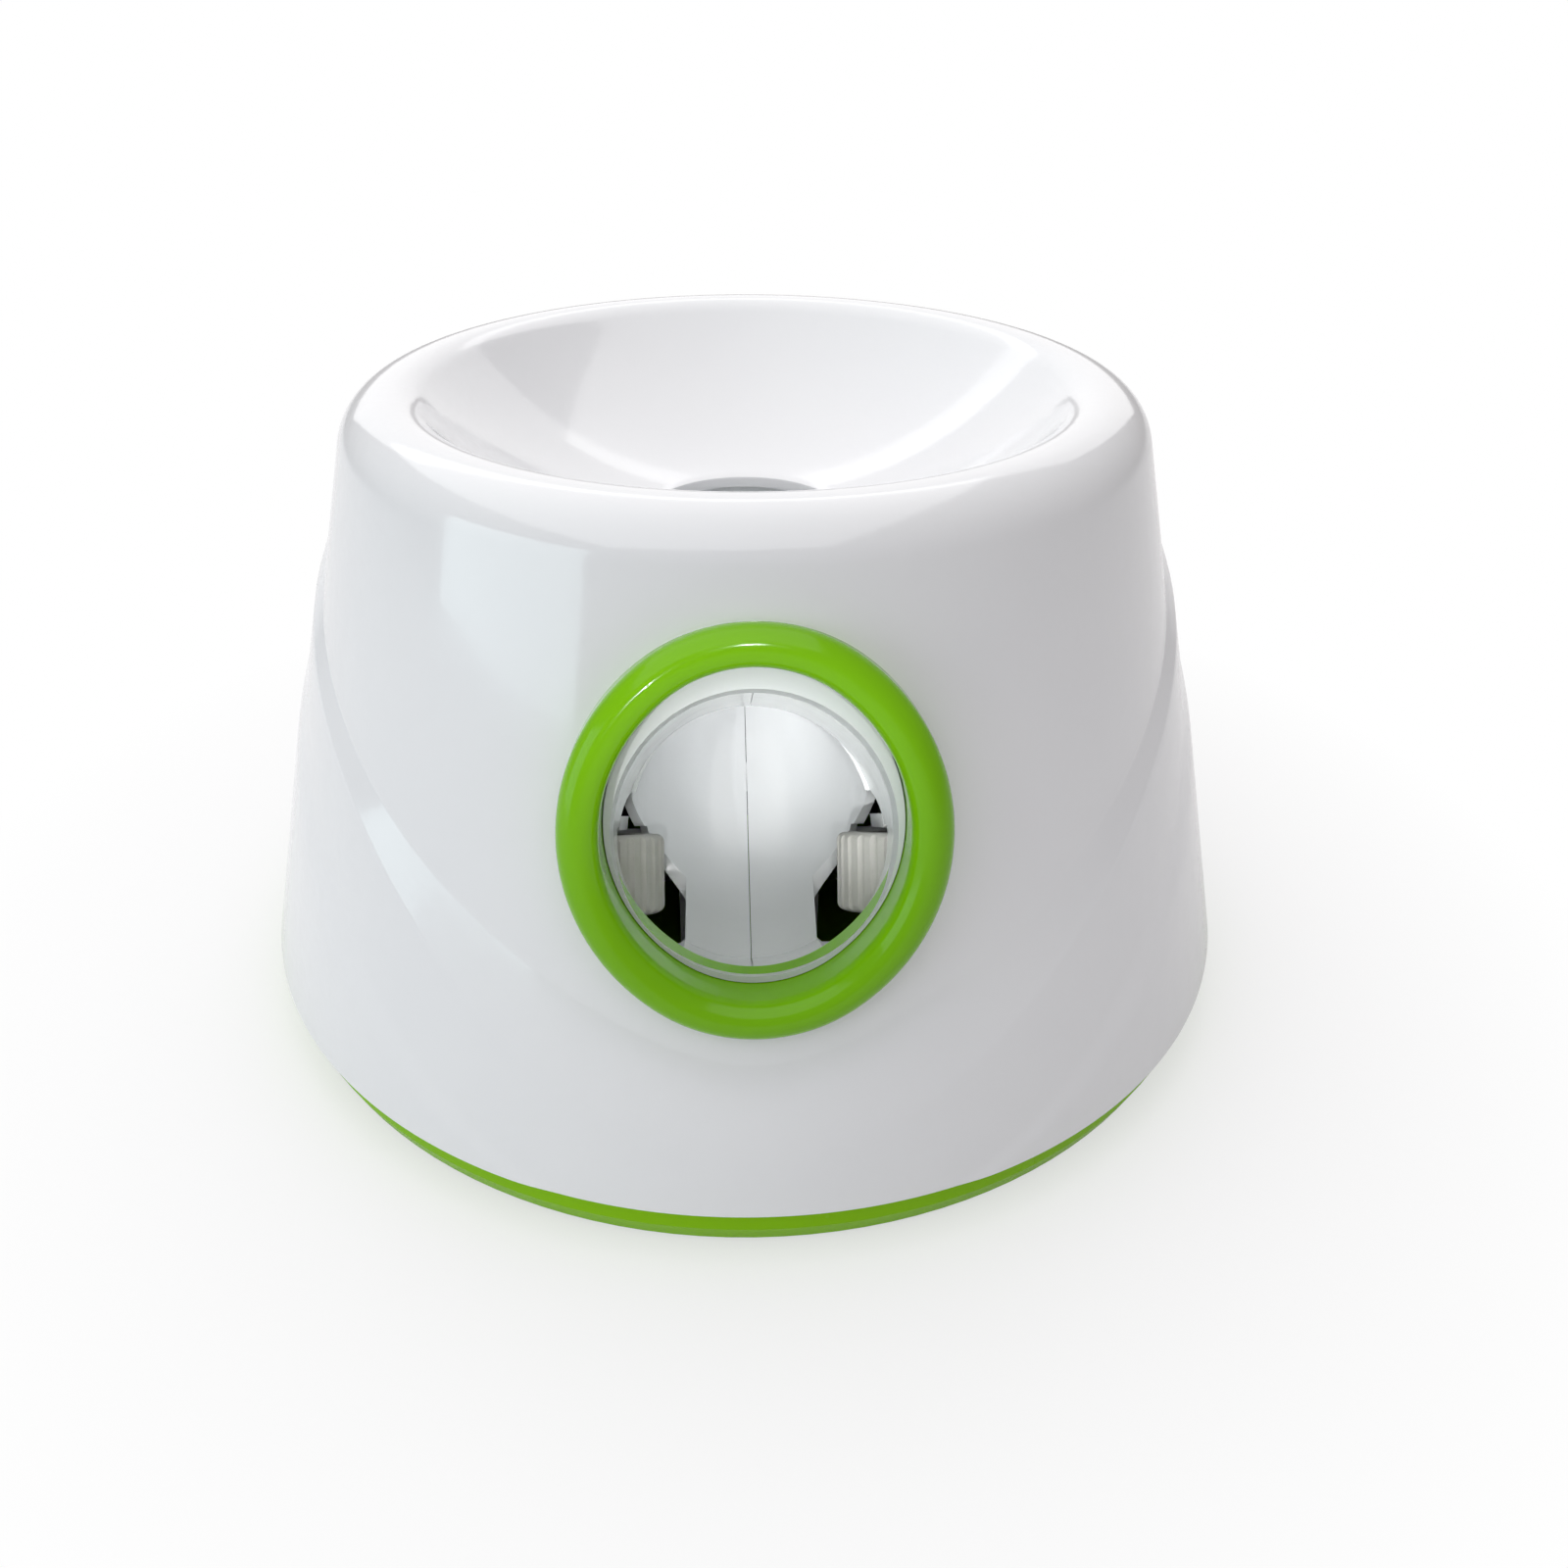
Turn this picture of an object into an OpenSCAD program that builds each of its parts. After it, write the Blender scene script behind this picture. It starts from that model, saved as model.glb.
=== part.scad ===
// Automatic launcher for two-inch dog balls. Millimetres, +Z up, mouth towards -Y.
// The origin is on the floor, under the middle of the bowl.

/* [Body] */
// Diameter of the skirt at its lower edge
skirt_d = 300; // [294:1:320]
// Height from the floor to the top of the rim
body_h = 175.5; // [174:0.5:182]
// Lean of the wall from the vertical, in degrees
wall_lean = 14.3; // [13.6:0.1:14.6]
// Wall thickness of the shell
shell_wall = 3; // [2.6:0.1:3.2]
// Radius of the rolled rim
rim_r = 14; // [13:0.5:15]
// Radius of the rim's inner edge
rim_inner_r = 6; // [5:0.5:7]
// How far the front apron lies inside the skirt at the lower edge
apron_inset = 3.2; // [2.6:0.1:3.6]
// Height of the apron's edge at the front
apron_low = 55.5; // [52:0.5:58]
// Height of the apron's edge at the sides
apron_side = 135; // [132:1:138]
// Height of the band's lower edge at the front
band_low = 31; // [28:1:34]
// Height of the band's lower edge at the sides
band_side = 128; // [124:1:130]
// Height of the skirt's upper edge at the sides
skirt_side = 86; // [80:1:90]

/* [Bowl] */
// Diameter of the bowl hole
hole_d = 54; // [53:0.5:55]
// Height of the bowl hole
hole_z = 137; // [136:0.5:138]
// Depth of the bowl's edge under the rim top
bowl_edge_drop = 8.4; // [7.5:0.1:9.5]

/* [Mouth] */
// Height of the mouth's centre on the wall
mouth_z = 107.8; // [106:0.2:109]
// Width of the mouth inside the green ring
mouth_w = 68.2; // [67:0.2:70]
// Height of the mouth inside the green ring, along the wall
mouth_h = 77.6; // [76.6:0.2:80]
// Width of the green ring's band
ring_w = 9.4; // [8.6:0.2:10]
// How far the ring stands out at its top and bottom
ring_proud = 6; // [5:0.5:7]
// Angle of the launch barrel above the horizontal, in degrees
launch_angle = 34; // [33:0.5:35]
// Inner diameter of the barrel
barrel_d = 65; // [64:0.5:66]
// Wall thickness of the chute halves
chute_wall = 2.5; // [2:0.1:2.6]

/* [Chute] */
// Inner diameter of the drop tube
tube_d = 56; // [55.4:0.2:56.6]
// Slope of the feed ramp, in degrees
ramp_slope = 15; // [14.5:0.5:15.5]
// Extra width of the feed ramp over the drop tube
ramp_extra = 6; // [4:0.5:7]
// Distance of the ramp's foot from the mouth, along the barrel
ramp_foot = 58; // [57:0.5:59]
// Gap at the seam between the halves
seam_gap = 0.2; // [0.1:0.05:0.4]

/* [Wheels] */
// Diameter of a launch wheel
wheel_d = 50; // [49:0.5:50.5]
// Width of a launch wheel
wheel_w = 20; // [19:0.5:21]
// Gap between the two wheels, where a ball is squeezed
nip_gap = 44.6; // [44:0.2:46]
// Thickness of the rubber tyre
tyre_t = 5; // [4:0.5:6]
// Number of grooves round a tyre
groove_n = 36; // [24:1:40]
// Depth of the grooves
groove_depth = 0.6; // [0.4:0.1:0.8]
// Distance of the wheels from the mouth, along the barrel
wheel_in = 50; // [49:0.5:51]
// How far the wheels sit below the barrel's axis
wheel_drop = 9.5; // [9:0.5:10]
// Diameter of a motor
motor_d = 24.4; // [22:0.2:25]
// Length of a motor can
motor_l = 31; // [28:0.5:33]
// Diameter of the motor shaft
shaft_d = 2.3; // [2:0.1:3]

/* [Gate] */
// Radius of the shutter's round paddle
paddle_r = 19; // [17:0.5:19.5]
// Thickness of the shutter
shutter_t = 3; // [2.4:0.1:3.2]
// Swing of the shutter, in degrees
gate_swing = 62; // [60:1:64]
// Teeth of the sector gear, counted all the way round
sector_teeth = 32; // [32:1:34]
// Teeth of the pinion
pinion_teeth = 12; // [12:1:13]
// Gear module
gear_module = 1; // [1:0.05:1.05]

/* [Base] */
// Height of the green base above its feet
base_h = 13; // [12:0.5:14]
// How far the feet lift the base off the floor
foot_lift = 1.5; // [1:0.5:2]
// Thickness of the base floor
floor_t = 2.5; // [2:0.5:3]
// Radius of a rubber foot
foot_r = 9; // [7:0.5:10]
// Diameter of a C cell
cell_d = 26.2; // [25:0.1:26.6]
// Length of a C cell
cell_l = 50; // [48:0.5:50.5]

/* [Controls] */
// Height of the control panel's centre on the rear wall
panel_z = 82; // [78:1:86]
// Width of the control panel
panel_w = 88; // [86:1:92]
// Height of the control panel
panel_h = 34; // [32:1:38]
// Diameter of the distance button
button_d = 12; // [9:0.5:14]
// Travel of the distance button
button_travel = 1.5; // [1:0.1:2]
// Swing of the power rocker, in degrees
rocker_swing = 20; // [16:1:22]

/* [Hidden] */
$fn = 120;

shell_white = [0.95, 0.95, 0.96];
lime_green = [0.42, 0.72, 0.05];
liner_white = [0.86, 0.87, 0.88];
tyre_grey = [0.62, 0.62, 0.60];
steel_grey = [0.72, 0.73, 0.75];
dark_plastic = [0.16, 0.16, 0.17];
board_green = [0.08, 0.35, 0.18];
copper_tone = [0.80, 0.66, 0.36];

eps = 0.01;
big = 400;
fit_gap = 0.2;
slide_gap = 0.4;
run_gap = 0.05;
screw_r = 1.5;
screw_head_r = 3;
screw_head_h = 1.8;
boss_r = 4.5;

// Wall of the body: radii of its lapped skins, and the rolled rim that they run up to
skirt_z = foot_lift + base_h;
skirt_r = skirt_d / 2;
rim_zc = body_h - rim_r;
wall_top = rim_zc + rim_r * sin(wall_lean);
apron_r = skirt_r - apron_inset;
apron_top_r = apron_r - tan(wall_lean) * (wall_top - skirt_z);
rim_cr = apron_top_r - rim_r * cos(wall_lean);
wall_inset = shell_wall / cos(wall_lean);
band_step = 0.9;
mid_step = 1.7;
skirt_step = 3.6;
band_bottom = 1.7;
mid_bottom = 0.4;
skirt_low = 5;

function wall_r(z) = apron_r - tan(wall_lean) * (z - skirt_z);
function arc_r(low, side, x) = ((side - low) * (side - low) + x * x) / (2 * (side - low));

// Bowl: a dish cut by one sphere through its edge and its hole
bowl_rim_r = rim_cr - 1;
bowl_edge_r = bowl_rim_r - rim_inner_r;
bowl_edge_z = body_h - bowl_edge_drop;
hole_r = hole_d / 2;
bowl_cz = (bowl_edge_r * bowl_edge_r - hole_r * hole_r + bowl_edge_z * bowl_edge_z - hole_z * hole_z)
    / (2 * (bowl_edge_z - hole_z));
bowl_r = sqrt(hole_r * hole_r + (bowl_cz - hole_z) * (bowl_cz - hole_z));

function bowl_under_z(r) = bowl_cz - sqrt((bowl_r + shell_wall) * (bowl_r + shell_wall) - r * r);

// Mouth: an oval of four arcs round the ring's middle line
mouth_y = -wall_r(mouth_z);
// The arcs' centres make a 3-4-5 triangle, so they meet smoothly at round numbers
oval_a = (mouth_w + ring_w) / 2;
oval_b = (mouth_h + ring_w) / 2;
oval_k = (oval_b - oval_a) / 2;
oval_end_r = oval_a - 2 * oval_k;
oval_end_c = 4 * oval_k;
oval_side_c = 3 * oval_k;
oval_side_r = oval_a + 3 * oval_k;
spigot_t = 3;
spigot_in = 16;
liner_front = 7;

// Barrel, feed ramp and drop tube
barrel_r = barrel_d / 2;
tube_r = tube_d / 2;
barrel_face = spigot_in + fit_gap;
foot_y = mouth_y + ramp_foot * cos(launch_angle) - barrel_r * sin(launch_angle);
foot_z = mouth_z - ramp_foot * sin(launch_angle) - barrel_r * cos(launch_angle);
mitre_lean = 19;
ramp_len = (tube_r * sin(ramp_slope) - foot_y) / cos(ramp_slope);
ramp_axis_z = foot_z + tube_r * cos(ramp_slope) + ramp_len * sin(ramp_slope);
gasket_h = 3;
tube_top = bowl_under_z(tube_r) - gasket_h;
leg_x = 18;
leg_y0 = -66;
leg_y1 = 14;
leg_top = ramp_axis_z - tube_r / 2;
leg_foot = 14;
sensor_y = -12;
sensor_z = ramp_axis_z + 8;
sensor_r = 2.5;

// Wheels, hubs and motors, in the barrel's own frame
wheel_r = wheel_d / 2;
wheel_x = nip_gap / 2 + wheel_r;
window_r = 21;
well_gap = 2;
bracket_gap = 1.7;
bracket_t = 3.5;
bracket_y = wheel_w / 2 - wheel_drop + bracket_gap - 0.5;
motor_y = bracket_y + bracket_t;
motor_boss_r = 5;
motor_r = motor_d / 2;
hub_r = wheel_r - tyre_t;
hub_boss_r = 5;
hub_web_t = 4;
shaft_r = shaft_d / 2;
shaft_in_motor = 20;
bracket_arm = 30;
bracket_boss_x = barrel_r + chute_wall + 4.5;
groove_r = 1.5;
tyre_edge_r = 2;

// Gate: the shutter turns about a pin behind and right of the drop tube
pivot_angle = 40;
pivot_dist = tube_r + 25;
pivot_x = pivot_dist * cos(pivot_angle);
pivot_y = pivot_dist * sin(pivot_angle);
shutter_z = tube_top - 6;
closed_angle = pivot_angle + 180;
open_angle = closed_angle - gate_swing;
sector_r = gear_module * sector_teeth / 2;
pinion_r = gear_module * pinion_teeth / 2;
pinion_angle = 10;
pinion_x = pivot_x + (sector_r + pinion_r) * cos(pinion_angle);
pinion_y = pivot_y + (sector_r + pinion_r) * sin(pinion_angle);
pinion_t = 5;
pin_r = 2;
gate_plate_t = 3;
gate_plate_z = shutter_z - 3 - gate_plate_t;
gate_motor_r = 9;
gate_motor_l = 26;
gate_boss_angles = [20, 63];
gate_boss_dist = tube_r + chute_wall + boss_r;
gate_shaft_r = 1.5;
gate_shaft_in = 10;
hub_lip = 2;
hub_outer_r = 6;
arm_w = 9;

// Base, posts and feet
base_r = skirt_r - 4.5;
base_ridge_r = skirt_r - 2.4;
base_lip_r = skirt_r - mid_bottom - wall_inset - slide_gap;
base_wall = 3;
base_lip_h = 4;
base_in_r = base_lip_r - base_lip_h * tan(wall_lean) - base_wall;
floor_z = foot_lift + floor_t;
post_angles = [-10, 190, 66, 114, -62, -118];
post_dist = skirt_r - 16;
post_r = 5;
post_top = 50;
foot_dist = skirt_r - 29;
foot_sink = 1;

// Batteries: two rows of three cells behind the ramp, as far back as the base allows
cell_r = cell_d / 2;
cell_gap = 0.5;
cell_lift = 1.2;
cell_z = floor_z + cell_lift + cell_r;
bay_x = 1.5 * cell_l + 5;
holder_wall = 2.5;
holder_end = 8;
holder_x = bay_x + holder_end;
bay_clear = 7.2;
holder_y1 = sqrt(base_in_r * base_in_r - holder_x * holder_x) - bay_clear;
row_back = holder_y1 - cell_r - cell_gap - holder_wall;
cell_rows = [row_back - cell_d - 2, row_back];
holder_y0 = cell_rows[0] - cell_r - cell_gap - holder_wall;
holder_top = cell_z + cell_r + cell_gap + holder_wall;
door_x = holder_x - 1;
door_y0 = holder_y0 + 0.5;
door_y1 = holder_y1 - 0.5;
door_screw_x = bay_x + holder_end / 2;
door_screw_y = (door_y0 + door_y1) / 2;
door_screw_r = 1.1;
foot_clear = 5;
foot_turn = acos((door_x + foot_r + foot_clear) / foot_dist);
foot_angles = [foot_turn, 180 - foot_turn, 90, -45, -135];

// Rear panel
panel_y = wall_r(panel_z);
panel_depth = 8;
panel_rim = 4;
panel_floor_t = 3;
panel_back = panel_depth + panel_floor_t;
panel_in_x = panel_w / 2 - panel_rim;
rocker_x = 11 - panel_in_x;
rocker_pivot = panel_back - 1;
jack_x = panel_in_x - 6.5;
jack_r = 4;
lens_r = 1.5;
lens_x = [for (i = [3, 2, 1]) jack_x - 5 - 5.5 * i];
board_t = 1.6;
board_back = 19;
stem_r = 1.2;
stem_l = 3.5;
switch_w = 15;
switch_h = 21;
button_x = (rocker_x + switch_w / 2 + lens_x[0] - lens_r - 1) / 2;
rocker_room = 10.4;
rocker_tall = 16.4;
rocker_pin_r = 1.2;
board_x0 = button_x - 10;
board_x1 = jack_x - jack_r - 1;
board_post_x = [board_x0 + 3, board_x1 - 3];
board_post_y = 8.5;

// Main board on the base floor, left of the chute and in front of the batteries
main_w = 56;
main_l = 70;
main_clear = 11;
main_y = holder_y0 - 17 - main_l / 2;
main_x = main_w / 2 - sqrt(pow(base_in_r - main_clear, 2) - pow(main_l / 2 - main_y, 2));
main_z = floor_z + 8;

// ---- Shared forms ----

// A skin of the wall: a cone from the lower edge up to the foot of the rim
module skin(bottom_in, top_out, d, low) {
    translate([0, 0, low])
        cylinder(h = wall_top - low,
            r1 = skirt_r - bottom_in - d + (skirt_z - low) * tan(wall_lean), r2 = apron_top_r + top_out - d);
}

// A skin without the part above a smile-shaped edge, which curves up to both sides
module lapped_skin(bottom_in, top_out, edge_low, edge_side, d, low) {
    side_x = skirt_r - (edge_side - skirt_z) * tan(wall_lean);
    edge_r = arc_r(edge_low, edge_side, side_x);
    difference() {
        skin(bottom_in, top_out, d, low);
        translate([0, 0, edge_low + edge_r])
            rotate([90, 0, 0])
            cylinder(h = big, r = edge_r + d, center = true);
    }
}

// The body's outer form as a solid, drawn in by d all over
module body_form(d, low = skirt_z) {
    inset = d / cos(wall_lean);
    skin(apron_inset, 0, inset, low);
    lapped_skin(band_bottom, band_step, apron_low, apron_side, inset, low);
    lapped_skin(mid_bottom, mid_step, band_low, band_side, inset, low);
    lapped_skin(0, skirt_step, skirt_low, skirt_side, inset, low);
    rotate_extrude()
        translate([rim_cr, rim_zc])
        circle(r = rim_r - d);
    translate([0, 0, wall_top - eps])
        cylinder(h = body_h - d - wall_top + eps, r = rim_cr);
}

// The space of the bowl inside the rim, swollen by d for its underside
module bowl_space(d) {
    intersection() {
        translate([0, 0, bowl_cz])
            sphere(r = bowl_r + d, $fn = 180);
        cylinder(h = body_h + 20, r = bowl_edge_r + d);
    }
    rotate_extrude()
        difference() {
            translate([0, body_h - rim_inner_r])
                square([bowl_rim_r, 40]);
            translate([bowl_rim_r, body_h - rim_inner_r])
                circle(r = rim_inner_r - d);
        }
}

// Frame on the wall at the mouth: local y runs up the wall, local z out of it
module on_mouth() {
    translate([0, mouth_y, mouth_z])
        rotate([90 - wall_lean, 0, 0])
        children();
}

// Frame of the barrel: local y is its upward normal, local z runs out of the mouth
module in_barrel() {
    translate([0, mouth_y, mouth_z])
        rotate([90 - launch_angle, 0, 0])
        children();
}

// Frame of the feed ramp: local z runs back up the ramp, local y into its floor
module in_ramp() {
    translate([0, foot_y, foot_z])
        rotate([ramp_slope - 90, 0, 0])
        children();
}

// Frame on the rear wall: local y runs down the wall, local z out of it
module on_rear() {
    translate([0, panel_y, panel_z])
        rotate([wall_lean - 90, 0, 0])
        children();
}

// Frame of the right wheel: local z is its axle, pointing up
module at_wheel() {
    in_barrel()
        translate([wheel_x, -wheel_drop, -wheel_in])
        rotate([-90, 0, 0])
        children();
}

module mirrored(flip) {
    mirror([flip ? 1 : 0, 0, 0])
        children();
}

// Oval of four arcs, grown outwards by d
module oval(d) {
    for (s = [-1, 1])
        translate([0, s * oval_end_c])
            circle(r = oval_end_r + d);
    intersection() {
        translate([-oval_side_c, 0])
            circle(r = oval_side_r + d);
        translate([oval_side_c, 0])
            circle(r = oval_side_r + d);
        square([big, 1.6 * (oval_side_r + d)], center = true);
    }
}

// Sweeps a section round the oval: two long side arcs and two tighter end arcs
module round_oval() {
    for (turn = [0, 180])
        rotate([0, 0, turn]) {
            intersection() {
                translate([-oval_side_c, 0, 0])
                    rotate_extrude()
                    translate([oval_side_r, 0])
                    children();
                translate([-oval_side_c, 0, -50])
                    linear_extrude(100)
                    polygon([[0, 0], [60, 80], [60, -80]]);
            }
            intersection() {
                translate([0, oval_end_c, 0])
                    rotate_extrude()
                    translate([oval_end_r, 0])
                    children();
                translate([0, oval_end_c, -50])
                    linear_extrude(100)
                    polygon([[0, 0], [60, 80], [-60, 80]]);
            }
        }
}

module rounded_rect(w, h, r) {
    square([w - 2 * r, h], center = true);
    square([w, h - 2 * r], center = true);
    for (x = [-1, 1], y = [-1, 1])
        translate([x * (w / 2 - r), y * (h / 2 - r)])
            circle(r = r);
}

// Pan-head screw with its head's underside at the origin, pointing down
module screw(length) {
    translate([0, 0, -length])
        cylinder(h = length + eps, r = screw_r);
    difference() {
        cylinder(h = screw_head_h, r = screw_head_r);
        for (turn = [0, 90])
            rotate([0, 0, turn])
                translate([-1.8, -0.35, screw_head_h - 0.9])
                cube([3.6, 0.7, 2]);
    }
}

// ---- Body ----

module outer_shell() {
    color(shell_white) {
        difference() {
            body_form(0);
            bowl_space(0);
            difference() {
                body_form(shell_wall, skirt_z - 2);
                bowl_space(shell_wall);
            }
            translate([0, 0, hole_z - 20])
                cylinder(h = 40, r = hole_r);
            on_mouth()
                translate([0, 0, -30])
                linear_extrude(60)
                oval(-ring_w / 2 + spigot_t + fit_gap);
            on_rear()
                translate([0, 0, -30])
                linear_extrude(60)
                rounded_rect(panel_w + 2 * fit_gap, panel_h + 2 * fit_gap, 6);
        }
        for (a = post_angles)
            shell_post(a);
    }
}

// Post for a base screw, tied to the wall by a rib
module shell_post(a) {
    difference() {
        intersection() {
            rotate([0, 0, a])
                translate([post_dist, 0, floor_z]) {
                    cylinder(h = post_top - floor_z, r = post_r);
                    translate([0, -1.5, base_lip_h + base_h])
                        cube([30, 3, post_top - floor_z - base_lip_h - base_h]);
                }
            body_form(shell_wall / 2, 0);
        }
        rotate([0, 0, a])
            translate([post_dist, 0, 0])
            cylinder(h = 30, r = screw_r);
    }
}

// The ring's band is trimmed to seat on the leaning wall; its spigot passes through the wall
module launch_ring() {
    color(lime_green) {
        difference() {
            on_mouth()
                round_oval()
                ring_section();
            skin(apron_inset, 0, 0, skirt_z);
        }
        on_mouth()
            round_oval()
            translate([-ring_w / 2, -spigot_in])
            square([spigot_t, spigot_in + 1]);
    }
}

module ring_section() {
    translate([0, ring_proud - ring_w / 2])
        circle(r = ring_w / 2);
    translate([-ring_w / 2, -12])
        square([ring_w, 12 + ring_proud - ring_w / 2]);
}

module mouth_liner() {
    color(liner_white)
        difference() {
            on_mouth()
                translate([0, 0, -barrel_face])
                linear_extrude(barrel_face - liner_front)
                oval(-ring_w / 2 - fit_gap);
            in_barrel()
                cylinder(h = big, r = barrel_r, center = true);
        }
}

module base_plate() {
    color(lime_green)
        difference() {
            rotate_extrude()
                base_section();
            base_cuts();
        }
}

// Floor, ridged edge, a ledge under the skirt and the lip that stands up inside it
module base_section() {
    polygon([[0, foot_lift], [base_r - 1.5, foot_lift], [base_r, foot_lift + 1.2],
        [base_ridge_r, foot_lift + base_h * 0.52], [base_ridge_r, skirt_z], [base_lip_r, skirt_z],
        [base_in_r + base_wall, skirt_z + base_lip_h], [base_in_r, skirt_z + base_lip_h],
        [base_in_r, floor_z], [0, floor_z]]);
}

module base_cuts() {
    for (a = post_angles)
        rotate([0, 0, a])
            translate([post_dist, 0, -1]) {
                cylinder(h = 30, r = screw_r + fit_gap);
                cylinder(h = foot_lift + screw_head_h - 0.4, r = screw_head_r + 0.5);
            }
    for (a = foot_angles)
        rotate([0, 0, a])
            translate([foot_dist, 0, -1])
            cylinder(h = foot_lift + foot_sink + 1, r = foot_r + fit_gap);
    translate([-door_x - fit_gap, door_y0 - fit_gap, -1])
        cube([2 * (door_x + fit_gap), door_y1 - door_y0 + 2 * fit_gap, 20]);
}

module rubber_feet() {
    color(dark_plastic)
        for (a = foot_angles)
            rotate([0, 0, a])
                translate([foot_dist, 0, 0])
                cylinder(h = foot_lift + foot_sink, r = foot_r);
}

module shell_screws() {
    color(steel_grey)
        for (a = post_angles)
            rotate([0, 0, a])
                translate([post_dist, 0, foot_lift + screw_head_h - 1.4])
                rotate([180, 0, 0])
                screw(12);
}

// ---- Chute ----

module ramp_section(d) {
    for (s = [-1, 1])
        translate([s * ramp_extra / 2, -tube_r])
            circle(r = tube_r + d);
    translate([-ramp_extra / 2, -2 * tube_r - d])
        square([ramp_extra, 2 * tube_r + 2 * d]);
}

// Barrel, feed ramp and drop tube as one winding space, grown by d
module chute_space(d, top) {
    intersection() {
        in_barrel()
            translate([0, 0, -110])
            cylinder(h = 150, r = barrel_r + d);
        mitre_half(-1);
    }
    intersection() {
        in_ramp() {
            translate([0, 0, -40])
                linear_extrude(ramp_len + 40)
                ramp_section(d);
            translate([0, -tube_r, ramp_len]) {
                for (s = [-1, 1])
                    translate([s * ramp_extra / 2, 0, 0])
                        sphere(r = tube_r + d);
                rotate([0, 90, 0])
                    cylinder(h = ramp_extra, r = tube_r + d, center = true);
            }
        }
        mitre_half(1);
    }
    translate([0, 0, ramp_axis_z])
        cylinder(h = top - ramp_axis_z, r = tube_r + d);
}

// Half of space in front of (-1) or behind (1) the joint of barrel and ramp
module mitre_half(way) {
    translate([0, foot_y, foot_z])
        rotate([-mitre_lean, 0, 0])
        translate([0, way * big / 2, 0])
        cube(big, center = true);
}

module chute_body() {
    difference() {
        union() {
            chute_space(chute_wall, tube_top);
            mitre_collar();
            chute_legs();
            seam_bosses(boss_r, 12);
            for (s = [-1, 1])
                bracket_bosses(s, boss_r);
        }
        chute_space(0, tube_top + 10);
        on_mouth()
            translate([0, 0, 50 - barrel_face])
            cube([big, big, 100], center = true);
        for (s = [0, 1])
            mirrored(s == 1)
                wheel_room();
        seam_bosses(screw_r, 40);
        gate_slot();
        for (s = [-1, 1])
            translate([s * tube_r, sensor_y, sensor_z])
                rotate([0, 90, 0])
                cylinder(h = 20, r = sensor_r, center = true);
    }
}

// Collar round the joint of barrel and ramp
module mitre_collar() {
    intersection() {
        in_barrel()
            translate([0, 0, -110])
            cylinder(h = 150, r = barrel_r + chute_wall + 2);
        translate([0, foot_y, foot_z])
            rotate([-mitre_lean, 0, 0])
            cube([big, 4, big], center = true);
    }
}

// Two ribs that carry the chute on the base floor, with screwed feet
module chute_legs() {
    for (s = [-1, 1]) {
        translate([s * leg_x - 1.5, leg_y0, floor_z])
            cube([3, leg_y1 - leg_y0, leg_top - floor_z]);
        for (y = [leg_y0, leg_y1 - leg_foot])
            difference() {
                translate([s * (leg_x + leg_foot / 2) - leg_foot / 2, y, floor_z])
                    cube([leg_foot, leg_foot, 3]);
                translate([s * (leg_x + leg_foot / 2 + 1), y + leg_foot / 2, 0])
                    cylinder(h = 20, r = screw_r);
            }
    }
}

// Places of the screw bosses along the seam
module seam_bosses(r, length) {
    out = chute_wall + boss_r - 1.5;
    in_barrel() {
        translate([0, barrel_r + out, -26])
            seam_boss(r, length);
        translate([0, -barrel_r - out, -44])
            seam_boss(r, length);
    }
    in_ramp()
        translate([0, out, 70])
        seam_boss(r, length);
    translate([0, tube_r + out, gate_plate_z - 12])
        seam_boss(r, length);
}

module seam_boss(r, length) {
    rotate([0, 90, 0])
        cylinder(h = length, r = r, center = true);
}

// Room for a wheel: a round window through the wall, and a well round the tyre
module wheel_room() {
    in_barrel()
        translate([wheel_x, -wheel_drop, -wheel_in])
        rotate([0, 90, 0])
        cylinder(h = 60, r = window_r, center = true);
    at_wheel()
        cylinder(h = wheel_w + 2 * well_gap, r = wheel_r + well_gap, center = true);
}

// Bosses on the barrel that carry a motor bracket
module bracket_bosses(s, r) {
    in_barrel()
        for (along = [-1, 1])
            translate([s * bracket_boss_x, bracket_y - 8, -wheel_in + along * bracket_arm])
                rotate([-90, 0, 0])
                difference() {
                    union() {
                        cylinder(h = 8, r = r);
                        translate([s > 0 ? -28 : 0, -r, 0])
                            cube([28, 2 * r, 8]);
                    }
                    translate([0, 0, -1])
                        cylinder(h = 20, r = screw_r);
                }
}

// Slot behind the drop tube that the shutter swings through
module gate_slot() {
    translate([pivot_x, pivot_y, shutter_z - 0.6])
        linear_extrude(shutter_t + 1.2)
        difference() {
            intersection() {
                circle(r = pivot_dist + paddle_r + 1);
                polygon([[0, 0], for (i = [0 : 10]) let (a = closed_angle + 24 - i * (gate_swing + 48) / 10)
                    120 * [cos(a), sin(a)]]);
            }
            circle(r = pivot_dist - tube_r - chute_wall - 2);
        }
}

// One half; only the pads round the seam screws reach the other half
module chute_half(s) {
    intersection() {
        union() {
            chute_body();
            if (s > 0)
                gate_bosses();
        }
        translate([s * (big / 2 + seam_gap / 2), 0, 0])
            cube(big, center = true);
    }
    intersection() {
        difference() {
            seam_bosses(boss_r, 4);
            seam_bosses(screw_r, 8);
        }
        translate([s * big / 2, 0, 0])
            cube(big, center = true);
    }
}

module chute_left() {
    color(liner_white)
        chute_half(-1);
}

module chute_right() {
    color(liner_white)
        chute_half(1);
}

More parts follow.
